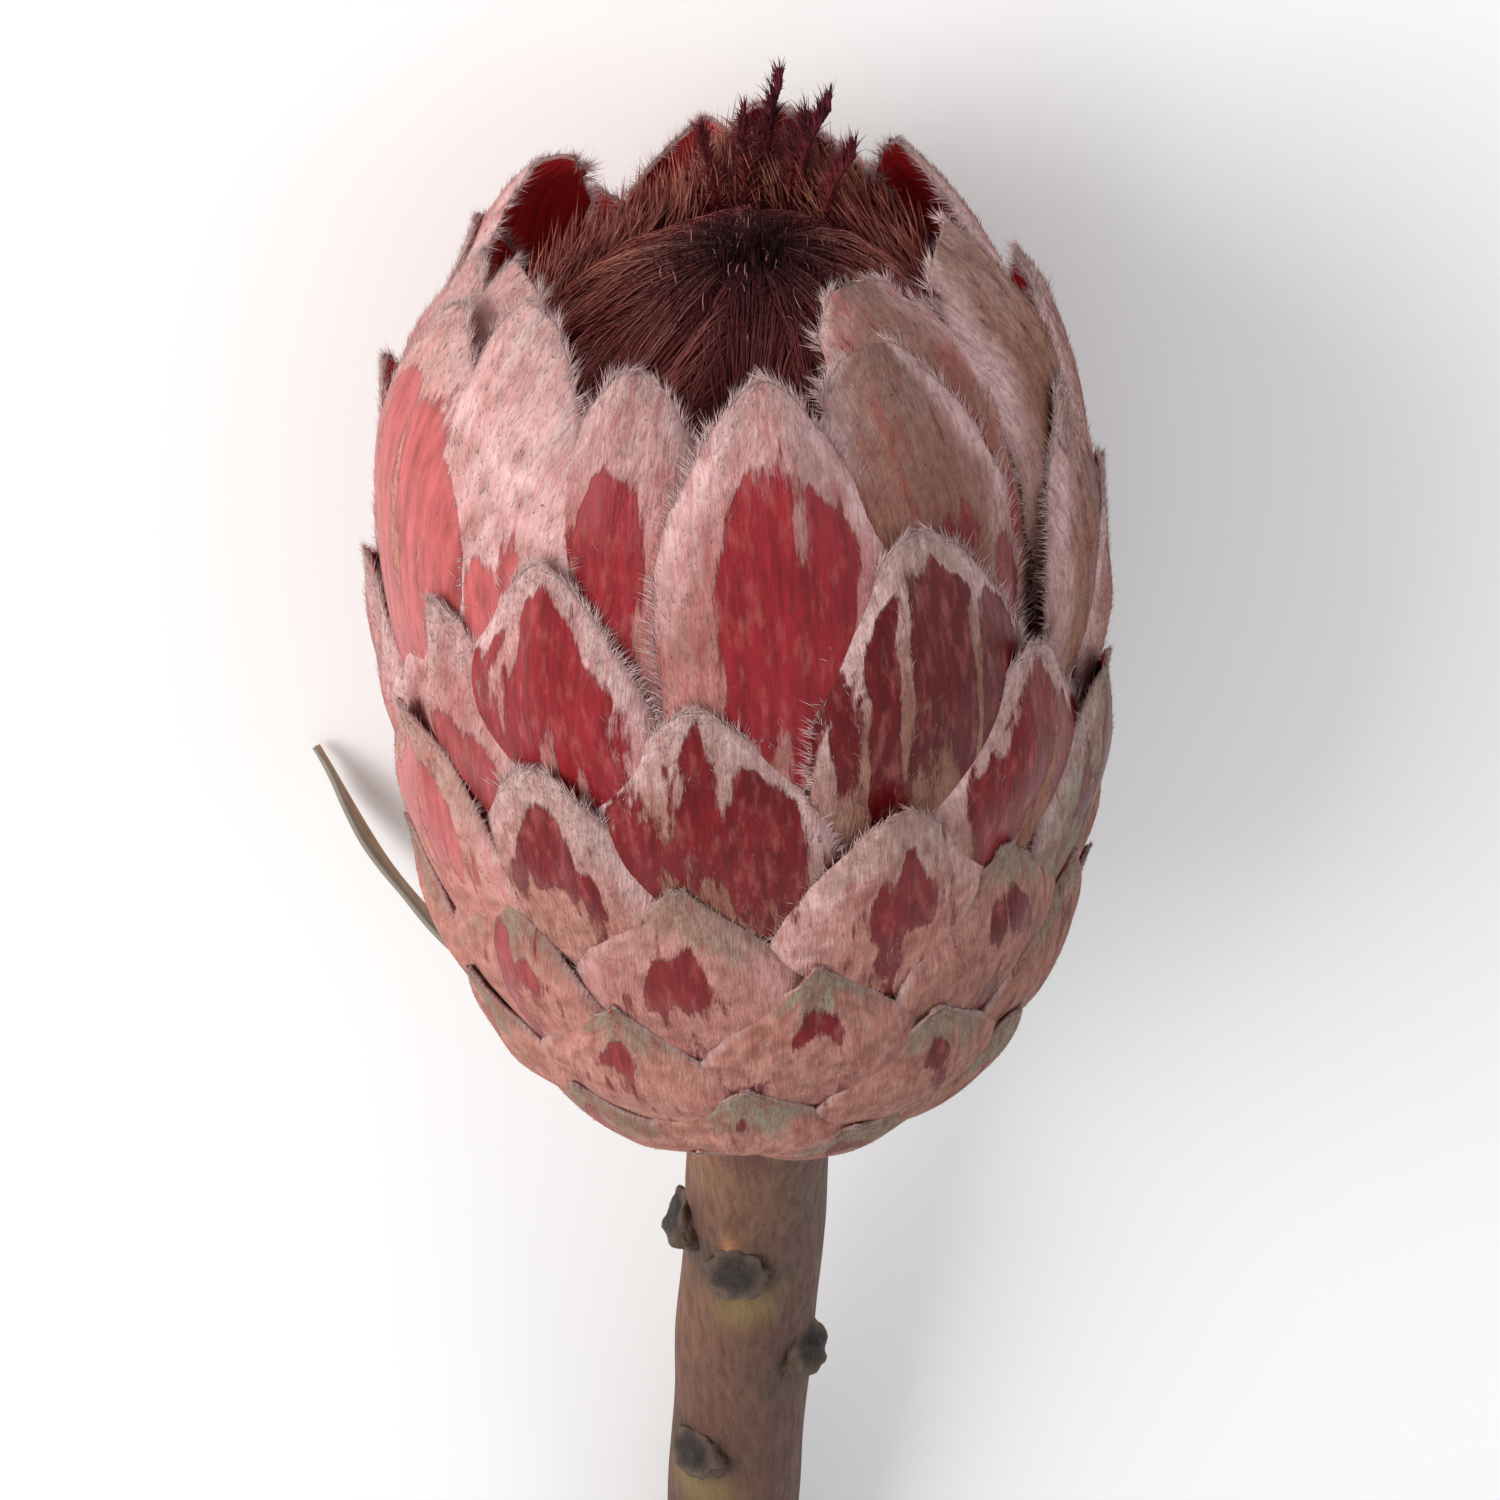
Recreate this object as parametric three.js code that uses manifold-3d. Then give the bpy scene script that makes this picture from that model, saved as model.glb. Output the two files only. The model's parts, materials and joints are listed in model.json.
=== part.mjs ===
// A cut protea flower lying on its side: a closed cup of shingled red bracts round a
// dome of dark florets, on a thick woody stem with one leaf left on it.
//
// The flower is first built upright in its own frame, in millimetres: the stem's top is
// at the origin, z runs up through the head, and x and y run across it. An azimuth of 0
// looks along -y, and it grows towards +x. The whole flower is then laid on its side.

import * as THREE from 'three';
import { mergeVertices } from 'three/addons/utils/BufferGeometryUtils.js';
import Module from 'manifold-3d';

const wasm = await Module();
wasm.setup();

// ---- Driving dimensions, in millimetres and degrees ----

// Head: the outline of the closed cup, from the stem to the mouth
const STEM_TOP_RADIUS = 7;
const HEAD_RADIUS = 32;
const HEAD_HEIGHT = 95;
const WAIST_HEIGHT = 40; // where the cup is widest
const MOUTH_RADIUS = 8;
const OUTLINE_STEPS = 12;
const FOCUS_HEIGHT = 40; // layers are counted inwards, towards this point on the axis

// Bracts: one spiral, numbered from the innermost to the outermost
const INNERMOST = -26;
const LAST_LONG_BRACT = 23;
const OUTERMOST = 47;
const GOLDEN_ANGLE = 137.508;
const FIRST_AZIMUTH = 0.5; // of bract 0
const MIDDLE_TIP_HEIGHT = 65; // of bract 0
const TIP_STEP = 1.2; // each bract further out ends this much lower
const INNER_RISE = 1.55; // each bract further in ends this much higher, less and less
const INNER_RISE_LOSS = 0.0195;
const LAYER_PITCH = 0.21; // depth from one bract to the next further in
const BRACT_THICKNESS = 0.5;
const BRACT_HALF_WIDTH = 10;
const INNER_NARROWING = 0.06; // lost from the half width for each bract inside bract 0
const TAPER_STEPS = 1.7; // outline steps from the widest place to the tip
const LARGEST_TAPER = 0.6; // of the bract's whole length
const BASE_SHARE = 0.45; // of the widest, at the base
const TIP_HALF_WIDTH = 0.9;
const LARGEST_HALF_ANGLE = 24;
const CUPPING = 0.3; // how far the long edges dip below the middle
const ACROSS_STEPS = 3; // faces across a bract
const SHORTEST_ROW = 0.25; // of a step: no row of faces is shorter
const BASE_STEP = 1; // where along the outline the bracts start
const JOINED_BASE_STEP = 0.72; // the joined scales start inside the receptacle

// Bracts that have grown off the spiral: [degrees to the right, millimetres higher, layers deeper]
const SHIFTED = new Map([
  [-26, [17, 0, 2]],
  [-24, [-8, 0, 1]],
  [-22, [12, 0]],
  [-21, [-13, 0]],
  [-19, [9, 2, 1]],
  [-18, [-14, 2]],
  [-16, [-8, 5]],
  [-13, [-7, 6]],
  [-11, [4, 8]],
  [-10, [9, 0]],
  [-8, [-12, 0]],
  [-5, [-5, 5]],
  [0, [-8, 2]],
  [3, [-8, 3]],
  [10, [6, 5]],
  [11, [-6, 4]],
]);

// Receptacle: the woody core that the bracts stand on
const GAP = 0.3; // between pieces that touch
const RECEPTACLE_STEP = 0.86;
const RECEPTACLE_CROWN = 0.8; // how far its top bulges up in the middle
const RECEPTACLE_SIDES = 24;

// Florets: the packed dome that fills the cup up to its shoulder
const FLORET_CLEARANCE = 1.4; // from the middle of the innermost bracts
const FLORET_FIRST_STEP = 1.4;
const FLORET_LAST_STEP = 8.4;
const FLORET_TOP = [[17.5, 78.5], [12.5, 84], [6.5, 87.4], [0, 88.5]]; // radius and height
const FLORET_SIDES = 20;

// Stem: it leans a little as it goes down, and is cut square at the end
const STEM_LENGTH = 150;
const STEM_RADIUS = 6.9;
const STEM_END_RADIUS = 7.3;
const STEM_LEAN = 0.09; // sideways for each millimetre down
const STEM_BOW = 3; // how far its middle stands off the straight line
const STEM_SIDES = 14;
const STEM_STEPS = 12;
const STEM_FLARE_LENGTH = 8; // how quickly the swelling under the head dies away

// Leaf scars: the knobs left where leaves were pulled off, as height and azimuth
const LEAF_SCARS = [[-26, -88], [-27, -15], [-44, 58], [-59, -40], [-82, 150], [-104, 70], [-128, -60]];
const SCAR_SIZE = new THREE.Vector3(3.4, 2.6, 3.6); // half sizes: across, out and along
const SCAR_SINK = 0.4; // how far its middle lies inside the bark
const SCAR_SIDES = 8;

// Leaf: narrow, springing from the stem just under the head
const LEAF_POINTS = [
  [-6.6, 4.6, -6], [-15.5, 9.5, -7], [-26, 15.5, -4.5], [-35, 21.5, 3.5], [-41.5, 27.2, 16],
];
const LEAF_HALF_WIDTH = 3.8;
const LEAF_THICKNESS = 0.9;
const LEAF_STEPS = 9;
const LEAF_EDGE_TILT = 40; // its flat side faces down the stem by this much
const LEAF_END_SHARE = 0.3; // of its widest, at both ends

// Lying down: how the upright flower is turned so that it rests on its back
const ROLL = -0.35; // about its own axis
const TILT = 7.37; // the head end is up by this much, because the stem's cut end rests too

const radians = THREE.MathUtils.degToRad;

// ---- The cup's outline ----

const outline = new THREE.CurvePath();
outline.add(new THREE.CubicBezierCurve(
  new THREE.Vector2(STEM_TOP_RADIUS + 1, 0),
  new THREE.Vector2(22, 0.5),
  new THREE.Vector2(HEAD_RADIUS, 14),
  new THREE.Vector2(HEAD_RADIUS, WAIST_HEIGHT),
));
outline.add(new THREE.CubicBezierCurve(
  new THREE.Vector2(HEAD_RADIUS, WAIST_HEIGHT),
  new THREE.Vector2(HEAD_RADIUS, 67),
  new THREE.Vector2(28.5, 88),
  new THREE.Vector2(MOUTH_RADIUS, HEAD_HEIGHT),
));
const stations = outline.getSpacedPoints(OUTLINE_STEPS);
const focus = new THREE.Vector2(0, FOCUS_HEIGHT);
const inwards = stations.map((point) => focus.clone().sub(point).normalize());

// The number of the bract whose tip would end at this height
function rankAt(height) {
  return (MIDDLE_TIP_HEIGHT - height) / TIP_STEP;
}

// Radius and height of a point, step by step along the outline and depth inside it
function inSection(step, depth) {
  const below = Math.min(Math.floor(step), OUTLINE_STEPS - 1);
  const share = step - below;
  const onOutline = stations[below].clone().lerp(stations[below + 1], share);
  const direction = inwards[below].clone().lerp(inwards[below + 1], share);
  return onOutline.addScaledVector(direction, depth);
}

// How far along the outline a height is reached
function stepAtHeight(height) {
  let below = 0;
  while (below < OUTLINE_STEPS - 1 && stations[below + 1].y < height) {
    below += 1;
  }
  const rise = stations[below + 1].y - stations[below].y;
  return below + (height - stations[below].y) / rise;
}

function bractDepth(step, rank) {
  const deeper = SHIFTED.get(rank)?.[2] ?? 0;
  return LAYER_PITCH * (rankAt(inSection(step, 0).y) - rank + deeper);
}

// ---- Bracts ----

function placeOf(rank) {
  const [turn, rise] = SHIFTED.get(rank) ?? [0, 0];
  const inner = Math.max(0, -rank);
  const height = rank > 0
    ? MIDDLE_TIP_HEIGHT - TIP_STEP * rank
    : MIDDLE_TIP_HEIGHT + INNER_RISE * inner - INNER_RISE_LOSS * inner * inner;
  return {
    azimuth: radians(FIRST_AZIMUTH + GOLDEN_ANGLE * rank + turn),
    tipStep: stepAtHeight(height + rise),
  };
}

// The blade's half width, growing from the base and closing in a rounded point
function halfWidthAt(step, baseStep, tipStep, widest) {
  const length = tipStep - baseStep;
  const taper = Math.min(TAPER_STEPS, LARGEST_TAPER * length);
  const before = (step - baseStep) / (length - taper);
  if (before < 1) {
    return widest * (BASE_SHARE + (1 - BASE_SHARE) * Math.sin((Math.PI / 2) * before));
  }
  const beyond = 1 - (tipStep - step) / taper;
  return TIP_HALF_WIDTH + (widest - TIP_HALF_WIDTH) * Math.cos((Math.PI / 2) * beyond) ** 0.75;
}

function bractGeometry(rank, baseStep) {
  const { azimuth, tipStep } = placeOf(rank);
  const rows = [baseStep];
  for (let step = Math.ceil(baseStep + SHORTEST_ROW); step < tipStep - SHORTEST_ROW; step += 1) {
    rows.push(step);
  }
  rows.push(tipStep);
  const widest = BRACT_HALF_WIDTH - INNER_NARROWING * Math.max(0, -rank);
  const geometry = new THREE.BoxGeometry(2, 2, 2, ACROSS_STEPS, rows.length - 1, 1);
  const position = geometry.attributes.position;
  for (let i = 0; i < position.count; i += 1) {
    const across = position.getX(i);
    const row = Math.round(((position.getY(i) + 1) / 2) * (rows.length - 1));
    const step = rows[row];
    const side = position.getZ(i); // 1 on the outer face, -1 on the inner one
    const depth = bractDepth(step, rank) + CUPPING * across * across - (side * BRACT_THICKNESS) / 2;
    const place = inSection(step, depth);
    const half = halfWidthAt(step, baseStep, tipStep, widest);
    const halfAngle = Math.min(half / place.x, radians(LARGEST_HALF_ANGLE));
    const angle = azimuth + across * halfAngle;
    position.setXYZ(i, place.x * Math.sin(angle), -place.x * Math.cos(angle), place.y);
  }
  return geometry;
}

// ---- Joining ----

function toSolid(geometry) {
  const bare = geometry.clone();
  bare.deleteAttribute('normal');
  bare.deleteAttribute('uv');
  const merged = mergeVertices(bare, 1e-3);
  return new wasm.Manifold(new wasm.Mesh({
    numProp: 3,
    vertProperties: new Float32Array(merged.attributes.position.array),
    triVerts: new Uint32Array(merged.index.array),
  }));
}

function toGeometry(solid) {
  const mesh = solid.getMesh();
  const geometry = new THREE.BufferGeometry();
  geometry.setAttribute('position', new THREE.BufferAttribute(new Float32Array(mesh.vertProperties), 3));
  geometry.setIndex(new THREE.BufferAttribute(new Uint32Array(mesh.triVerts), 1));
  geometry.computeVertexNormals();
  return geometry;
}

function joined(geometries) {
  return toGeometry(geometries.map(toSolid).reduce((whole, piece) => whole.add(piece)));
}

function latheGeometry(points, sides) {
  const geometry = new THREE.LatheGeometry(points, sides);
  geometry.rotateX(Math.PI / 2); // a lathe turns about y, and the flower stands along z
  return geometry;
}

// ---- Receptacle with the short scales that have grown together with it ----

function receptacleGeometry() {
  const lowest = inSection(RECEPTACLE_STEP, bractDepth(RECEPTACLE_STEP, OUTERMOST + 1));
  const highest = inSection(RECEPTACLE_STEP, bractDepth(RECEPTACLE_STEP, INNERMOST));
  return latheGeometry([
    new THREE.Vector2(0, GAP),
    new THREE.Vector2(STEM_TOP_RADIUS + 1, GAP),
    lowest,
    highest,
    new THREE.Vector2(0, highest.y + RECEPTACLE_CROWN),
  ], RECEPTACLE_SIDES);
}

function baseGeometry() {
  const pieces = [receptacleGeometry()];
  for (let rank = LAST_LONG_BRACT + 1; rank <= OUTERMOST; rank += 1) {
    pieces.push(bractGeometry(rank, JOINED_BASE_STEP));
  }
  return joined(pieces);
}

// ---- Florets ----

function floretGeometry() {
  const side = [];
  for (let step = FLORET_FIRST_STEP; step <= FLORET_LAST_STEP; step += 1) {
    side.push(inSection(step, bractDepth(step, INNERMOST) + FLORET_CLEARANCE));
  }
  const top = FLORET_TOP.map(([radius, height]) => new THREE.Vector2(radius, height));
  return latheGeometry([new THREE.Vector2(0, side[0].y), ...side, ...top], FLORET_SIDES);
}

// ---- Stem ----

// The middle of the stem, some way down from the head
function stemMiddle(down) {
  const bow = STEM_BOW * Math.sin((Math.PI * down) / STEM_LENGTH);
  return new THREE.Vector3(-STEM_LEAN * down, bow, -down);
}

function stemRadius(down) {
  const flare = (STEM_TOP_RADIUS - STEM_RADIUS) * Math.exp(-down / STEM_FLARE_LENGTH);
  return STEM_RADIUS + flare + (STEM_END_RADIUS - STEM_RADIUS) * (down / STEM_LENGTH);
}

function barkGeometry() {
  const geometry = new THREE.CylinderGeometry(1, 1, 1, STEM_SIDES, STEM_STEPS);
  geometry.rotateX(Math.PI / 2);
  const position = geometry.attributes.position;
  for (let i = 0; i < position.count; i += 1) {
    const down = (0.5 - position.getZ(i)) * STEM_LENGTH;
    const middle = stemMiddle(down);
    const radius = stemRadius(down);
    position.setXYZ(
      i,
      middle.x + position.getX(i) * radius,
      middle.y + position.getY(i) * radius,
      middle.z,
    );
  }
  return geometry;
}

function scarGeometry(height, azimuth) {
  const geometry = new THREE.SphereGeometry(1, SCAR_SIDES, SCAR_SIDES - 2);
  geometry.rotateX(Math.PI / 2);
  geometry.scale(SCAR_SIZE.x, SCAR_SIZE.y, SCAR_SIZE.z);
  geometry.translate(0, -(stemRadius(-height) - SCAR_SINK), 0);
  geometry.rotateZ(radians(azimuth));
  const middle = stemMiddle(-height);
  geometry.translate(middle.x, middle.y, middle.z);
  return geometry;
}

function stemGeometry() {
  const scars = LEAF_SCARS.map(([height, azimuth]) => scarGeometry(height, azimuth));
  return joined([barkGeometry(), ...scars]);
}

// ---- Leaf ----

function leafGeometry() {
  const midrib = new THREE.CatmullRomCurve3(LEAF_POINTS.map((point) => new THREE.Vector3(...point)));
  const edgeTilt = radians(LEAF_EDGE_TILT);
  const widthwards = new THREE.Vector3(0, -Math.cos(edgeTilt), Math.sin(edgeTilt));
  const geometry = new THREE.BoxGeometry(2, 2, 2, 2, LEAF_STEPS, 1);
  const position = geometry.attributes.position;
  for (let i = 0; i < position.count; i += 1) {
    const share = (position.getY(i) + 1) / 2;
    const middle = midrib.getPointAt(share);
    const along = midrib.getTangentAt(share);
    const across = widthwards.clone().addScaledVector(along, -widthwards.dot(along)).normalize();
    const out = across.clone().cross(along);
    const swell = Math.sin(Math.PI * share ** 0.75) ** 0.7;
    const half = LEAF_HALF_WIDTH * (LEAF_END_SHARE + (1 - LEAF_END_SHARE) * swell);
    middle.addScaledVector(across, position.getX(i) * half);
    middle.addScaledVector(out, (position.getZ(i) * LEAF_THICKNESS) / 2);
    position.setXYZ(i, middle.x, middle.y, middle.z);
  }
  return geometry;
}

// ---- Materials ----

const bractRed = new THREE.MeshStandardMaterial({ color: 0xa23a44, roughness: 0.8, metalness: 0 });
const scaleSalmon = new THREE.MeshStandardMaterial({ color: 0xc98272, roughness: 0.8, metalness: 0 });
const floretMaroon = new THREE.MeshStandardMaterial({ color: 0x3a1620, roughness: 0.95, metalness: 0 });
const barkBrown = new THREE.MeshStandardMaterial({ color: 0x7a5442, roughness: 0.85, metalness: 0 });
const leafTan = new THREE.MeshStandardMaterial({ color: 0x8c7353, roughness: 0.75, metalness: 0 });

// ---- The flower, upright ----

function named(name, geometry, material) {
  const mesh = new THREE.Mesh(geometry, material);
  mesh.name = name;
  return mesh;
}

const flower = new THREE.Group();
for (let rank = INNERMOST; rank <= LAST_LONG_BRACT; rank += 1) {
  const number = String(rank - INNERMOST + 1).padStart(2, '0');
  flower.add(named(`bract_${number}`, bractGeometry(rank, BASE_STEP), bractRed));
}
flower.add(named('receptacle_and_scales', baseGeometry(), scaleSalmon));
flower.add(named('florets', floretGeometry(), floretMaroon));
flower.add(named('stem', stemGeometry(), barkBrown));
flower.add(named('leaf', leafGeometry(), leafTan));
flower.rotation.z = radians(ROLL);

// ---- Laid on its side, with the origin under the middle of its box ----

const laid = new THREE.Group();
laid.add(flower);
laid.rotation.x = Math.PI / 2 + radians(TILT);

const turned = new THREE.Group();
turned.add(laid);
turned.rotation.y = Math.PI;

const part = new THREE.Group();
part.add(turned);
part.updateMatrixWorld(true);
const box = new THREE.Box3().setFromObject(part, true);
turned.position.set(-(box.min.x + box.max.x) / 2, -(box.min.y + box.max.y) / 2, -box.min.z);

export default part;
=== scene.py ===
# %% [markdown]
# # A protea flower, made around its imported frame
#
# The real object is one cut bloom. Some seventy leathery bracts stand on a woody core in one
# long spiral, and close into a cup. The cup holds a dome of dark, silky florets. Below it are a
# thick stem, with knobs where leaves were pulled off, and one narrow leaf.
#
# The frame gives the place of every piece. It is loaded first. The finished flower has to stay
# inside it.

# %% Load the frame
import json
import math

import bpy
import numpy as np
from mathutils import Matrix, Vector, noise

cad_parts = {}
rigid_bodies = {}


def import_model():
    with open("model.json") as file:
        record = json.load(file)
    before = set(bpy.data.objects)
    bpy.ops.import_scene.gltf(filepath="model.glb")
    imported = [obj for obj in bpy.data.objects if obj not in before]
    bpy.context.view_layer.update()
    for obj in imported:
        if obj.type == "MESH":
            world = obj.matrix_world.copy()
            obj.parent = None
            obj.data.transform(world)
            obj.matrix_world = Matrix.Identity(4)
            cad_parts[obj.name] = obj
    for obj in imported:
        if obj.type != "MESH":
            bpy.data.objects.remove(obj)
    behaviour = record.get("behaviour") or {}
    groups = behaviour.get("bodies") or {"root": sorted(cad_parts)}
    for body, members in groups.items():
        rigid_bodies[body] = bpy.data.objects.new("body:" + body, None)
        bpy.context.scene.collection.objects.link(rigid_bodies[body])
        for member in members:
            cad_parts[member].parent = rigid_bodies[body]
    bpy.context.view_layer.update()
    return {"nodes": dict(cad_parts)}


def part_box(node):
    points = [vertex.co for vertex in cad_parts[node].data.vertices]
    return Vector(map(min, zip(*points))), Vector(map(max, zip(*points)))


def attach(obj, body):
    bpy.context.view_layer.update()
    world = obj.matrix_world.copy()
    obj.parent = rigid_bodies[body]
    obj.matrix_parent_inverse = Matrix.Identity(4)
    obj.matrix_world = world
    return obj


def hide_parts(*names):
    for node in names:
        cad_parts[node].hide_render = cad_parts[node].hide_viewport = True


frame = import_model()
MM = 0.001
print("frame nodes:", len(frame["nodes"]))

# %% [markdown]
# ## Standing up and lying down
#
# A flower is easiest to think about upright: millimetres, z up through the head, the top of the
# stem at the origin, and an azimuth of 0 on the side that faces -y. The real one lies on its
# back, so one function turns upright points into the frame's place. It could also be done by
# rotating each finished object, but then each object's own transform would have to be applied.
#
# The turn is known from how the flower was laid down. The shift is measured: the crown of the
# floret dome is on the flower's axis, and it is the dome's point farthest from the stem.

# %% Lay upright points down
ROLL = math.radians(-0.35)
TILT = math.radians(7.37)
CROWN_HEIGHT = 88.5

turn = (
    Matrix.Rotation(math.pi, 3, "Y")
    @ Matrix.Rotation(math.pi / 2 + TILT, 3, "X")
    @ Matrix.Rotation(ROLL, 3, "Z")
)
stem_low, stem_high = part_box("stem")
stem_centre = (stem_low + stem_high) / 2
crown = max(
    (v.co for v in frame["nodes"]["florets"].data.vertices),
    key=lambda place: (place - stem_centre).length,
)
shift = crown / MM - turn @ Vector((0, 0, CROWN_HEIGHT))
TURN = np.array(turn)
SHIFT = np.array(shift)
print("shift, mm:", SHIFT.round(2))


def laid(points):
    """Upright millimetres to metres in the frame, pressed flat where they would pass the floor."""
    placed = (np.asarray(points) @ TURN.T + SHIFT) * MM
    placed[:, 2] = np.maximum(placed[:, 2], 0.00003)
    return placed


def laid_direction(direction):
    return turn @ Vector(direction)


# %% [markdown]
# ## The camera, the light and the floor
#
# The camera looks at the side of the head that faces up, from forty degrees towards its mouth,
# so that both the shingled bracts and the florets show. Its place is worked out upright and
# then laid down with the flower. The mouth is at the top of the view, so the camera is
# turned over, as it is when someone looks at a flower on a table from its far end.

# %% Camera
CAMERA_RISE = math.radians(40)
CAMERA_DISTANCE = 260
CAMERA_LENS = 75.6
HEAD_MIDDLE = Vector((0, 0, 47.5))
AIM_BELOW = 8.1
AIM_RIGHT = 0.4
HEAD_LEAN = math.radians(3.34)

towards_camera = Vector((0, -math.cos(CAMERA_RISE), math.sin(CAMERA_RISE)))
view_right = Vector((1, 0, 0))
view_up = Vector((0, math.sin(CAMERA_RISE), math.cos(CAMERA_RISE)))
camera_up = view_up * math.cos(HEAD_LEAN) + view_right * math.sin(HEAD_LEAN)
camera_right = view_right * math.cos(HEAD_LEAN) - view_up * math.sin(HEAD_LEAN)
camera_place = HEAD_MIDDLE + towards_camera * CAMERA_DISTANCE
aim = HEAD_MIDDLE - camera_up * AIM_BELOW + camera_right * AIM_RIGHT


def look(place, target, up):
    """A rotation that looks from place to target with up at the top of the view."""
    back = (place - target).normalized()
    right = up.cross(back).normalized()
    return Matrix((right, back.cross(right), back)).transposed()


def new_object(name, data):
    """An object that holds the data, put in the scene."""
    made = bpy.data.objects.new(name, data)
    bpy.context.scene.collection.objects.link(made)
    return made


camera_data = bpy.data.cameras.new("camera")
camera_data.lens = CAMERA_LENS
camera_data.clip_start = 0.01
camera = new_object("camera", camera_data)
camera_spot = Vector(laid([camera_place])[0])
aim_spot = Vector(laid([aim])[0])
camera.matrix_world = Matrix.Translation(camera_spot) @ look(
    camera_spot, aim_spot, laid_direction(camera_up)
).to_4x4()
bpy.context.scene.camera = camera
bpy.context.scene.view_settings.view_transform = "Standard"
print("camera, m:", [round(c, 3) for c in camera_spot])

# %% [markdown]
# The light is soft daylight from a window on the left of the view: one large warm panel, a
# weak cool one on the other side, and a bright pale room all round. A sun lamp would draw hard
# shadows between the bracts, which a flower on a windowsill doesn't have.

# %% Lights and floor
MIDDLE = Vector(laid([HEAD_MIDDLE])[0])


def panel(name, direction, distance, size, power, colour):
    """A square area light, placed by an upright direction from the middle of the head."""
    data = bpy.data.lights.new(name, "AREA")
    data.shape = "SQUARE"
    data.size = size
    data.energy = power
    data.color = colour
    light = new_object(name, data)
    place = MIDDLE + laid_direction(direction).normalized() * distance
    light.matrix_world = Matrix.Translation(place) @ look(
        place, MIDDLE, laid_direction((0.1, 0, 1))
    ).to_4x4()
    return light


panel("window", (-0.85, -0.6, 0.4), 0.7, 0.5, 4.4, (1.0, 0.97, 0.93))
panel("far_wall", (0.9, -0.6, 0.1), 0.9, 0.6, 1.1, (0.96, 0.97, 1.0))

world = bpy.data.worlds.new("room")
bpy.context.scene.world = world
world.use_nodes = True
room = world.node_tree.nodes["Background"]
room.inputs["Color"].default_value = (0.97, 0.98, 1.0, 1)
room.inputs["Strength"].default_value = 0.68

bpy.ops.object.select_all(action="DESELECT")
bpy.ops.mesh.primitive_circle_add(vertices=96, radius=4, fill_type="NGON", location=(0, 0, 0))
floor = bpy.context.object
floor.name = "floor"
floor_paint = bpy.data.materials.new("pale_floor")
floor_paint.use_nodes = True
floor_shader = floor_paint.node_tree.nodes["Principled BSDF"]
floor_shader.inputs["Base Color"].default_value = (0.93, 0.93, 0.93, 1)
floor_shader.inputs["Roughness"].default_value = 0.9
floor.data.materials.append(floor_paint)

# %% [markdown]
# ## Helpers
#
# Every piece ends in the same way: its object at the origin, unturned and unscaled, riding on
# the frame's one body, and standing for its frame node.

# %% Finish a piece
BODY = "root"


def alone(thing):
    """Selects one object and makes it the active one."""
    bpy.ops.object.select_all(action="DESELECT")
    thing.select_set(True)
    bpy.context.view_layer.objects.active = thing


def finish_piece(thing, slot, *nodes):
    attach(thing, BODY)
    if nodes:
        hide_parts(*nodes)
    return thing


def apply_all(thing):
    alone(thing)
    for modifier in list(thing.modifiers):
        bpy.ops.object.modifier_apply(modifier=modifier.name)


def smooth(thing):
    alone(thing)
    bpy.ops.object.shade_smooth()


def join(parts, name):
    """Makes one object of several."""
    alone(parts[0])
    for part in parts:
        part.select_set(True)
    bpy.ops.object.join()
    joined = bpy.context.object
    joined.name = name
    return joined


def coordinates(thing):
    flat = np.empty(len(thing.data.vertices) * 3)
    thing.data.vertices.foreach_get("co", flat)
    return flat.reshape(-1, 3)


def set_coordinates(thing, points):
    thing.data.vertices.foreach_set("co", np.asarray(points, dtype=float).ravel())
    thing.data.update()


def paint_points(mesh, name, values):
    """Stores a number or a colour for each vertex, for a material to read."""
    values = np.asarray(values, dtype=float)
    if values.ndim == 1:
        mesh.attributes.new(name, "FLOAT", "POINT").data.foreach_set("value", values)
    else:
        full = np.column_stack([values, np.ones(len(values))])
        mesh.attributes.new(name, "FLOAT_COLOR", "POINT").data.foreach_set("color", full.ravel())


def store_sheet(mesh, places):
    """Stores each vertex's place on its flat sheet, in millimetres, for a material to read."""
    flat = np.column_stack(places).ravel()
    mesh.attributes.new("sheet", "FLOAT_VECTOR", "POINT").data.foreach_set("vector", flat)


def new_ball(name, segments, rings):
    """A closed sphere to shape, with each point's share from top to bottom and its azimuth."""
    bpy.ops.object.select_all(action="DESELECT")
    bpy.ops.mesh.primitive_uv_sphere_add(
        segments=segments, ring_count=rings, radius=1, location=(0, 0, 0)
    )
    made = bpy.context.object
    made.name = name
    ball = coordinates(made)
    from_top = np.arccos(np.clip(ball[:, 2], -1, 1)) / math.pi
    return made, from_top, np.arctan2(ball[:, 0], -ball[:, 1])


def ease(low, high, value):
    """0 below low, 1 above high, and a smooth step in between."""
    share = np.clip((value - low) / (high - low), 0, 1)
    return share * share * (3 - 2 * share)


def grain(x, y, seed):
    """Smooth noise, about -0.5 to 0.5, at each pair of places."""
    return np.array([noise.noise(Vector((a, b, seed))) for a, b in zip(x, y)])


def ring_noise(facing, scale, level):
    """Smooth noise round a ring, finer for a larger scale, and different at each level."""
    return np.array([
        noise.noise(Vector((math.sin(a) * scale, math.cos(a) * scale, h)))
        for a, h in zip(facing, np.broadcast_to(level, facing.shape))
    ])


# %% [markdown]
# ## The shape of the head
#
# The outside of the cup is a curve from the stem to the mouth, made of two Bezier arcs that
# meet where the cup is widest. It is cut into twelve equal steps along its length, and a
# place on the head is then a step and an azimuth. Bracts lie in layers under this skin. Each
# bract is thin and lies a fixed pitch below the one before it in the spiral, measured towards a
# point on the axis, so that no bract meets another however much they overlap.

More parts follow.
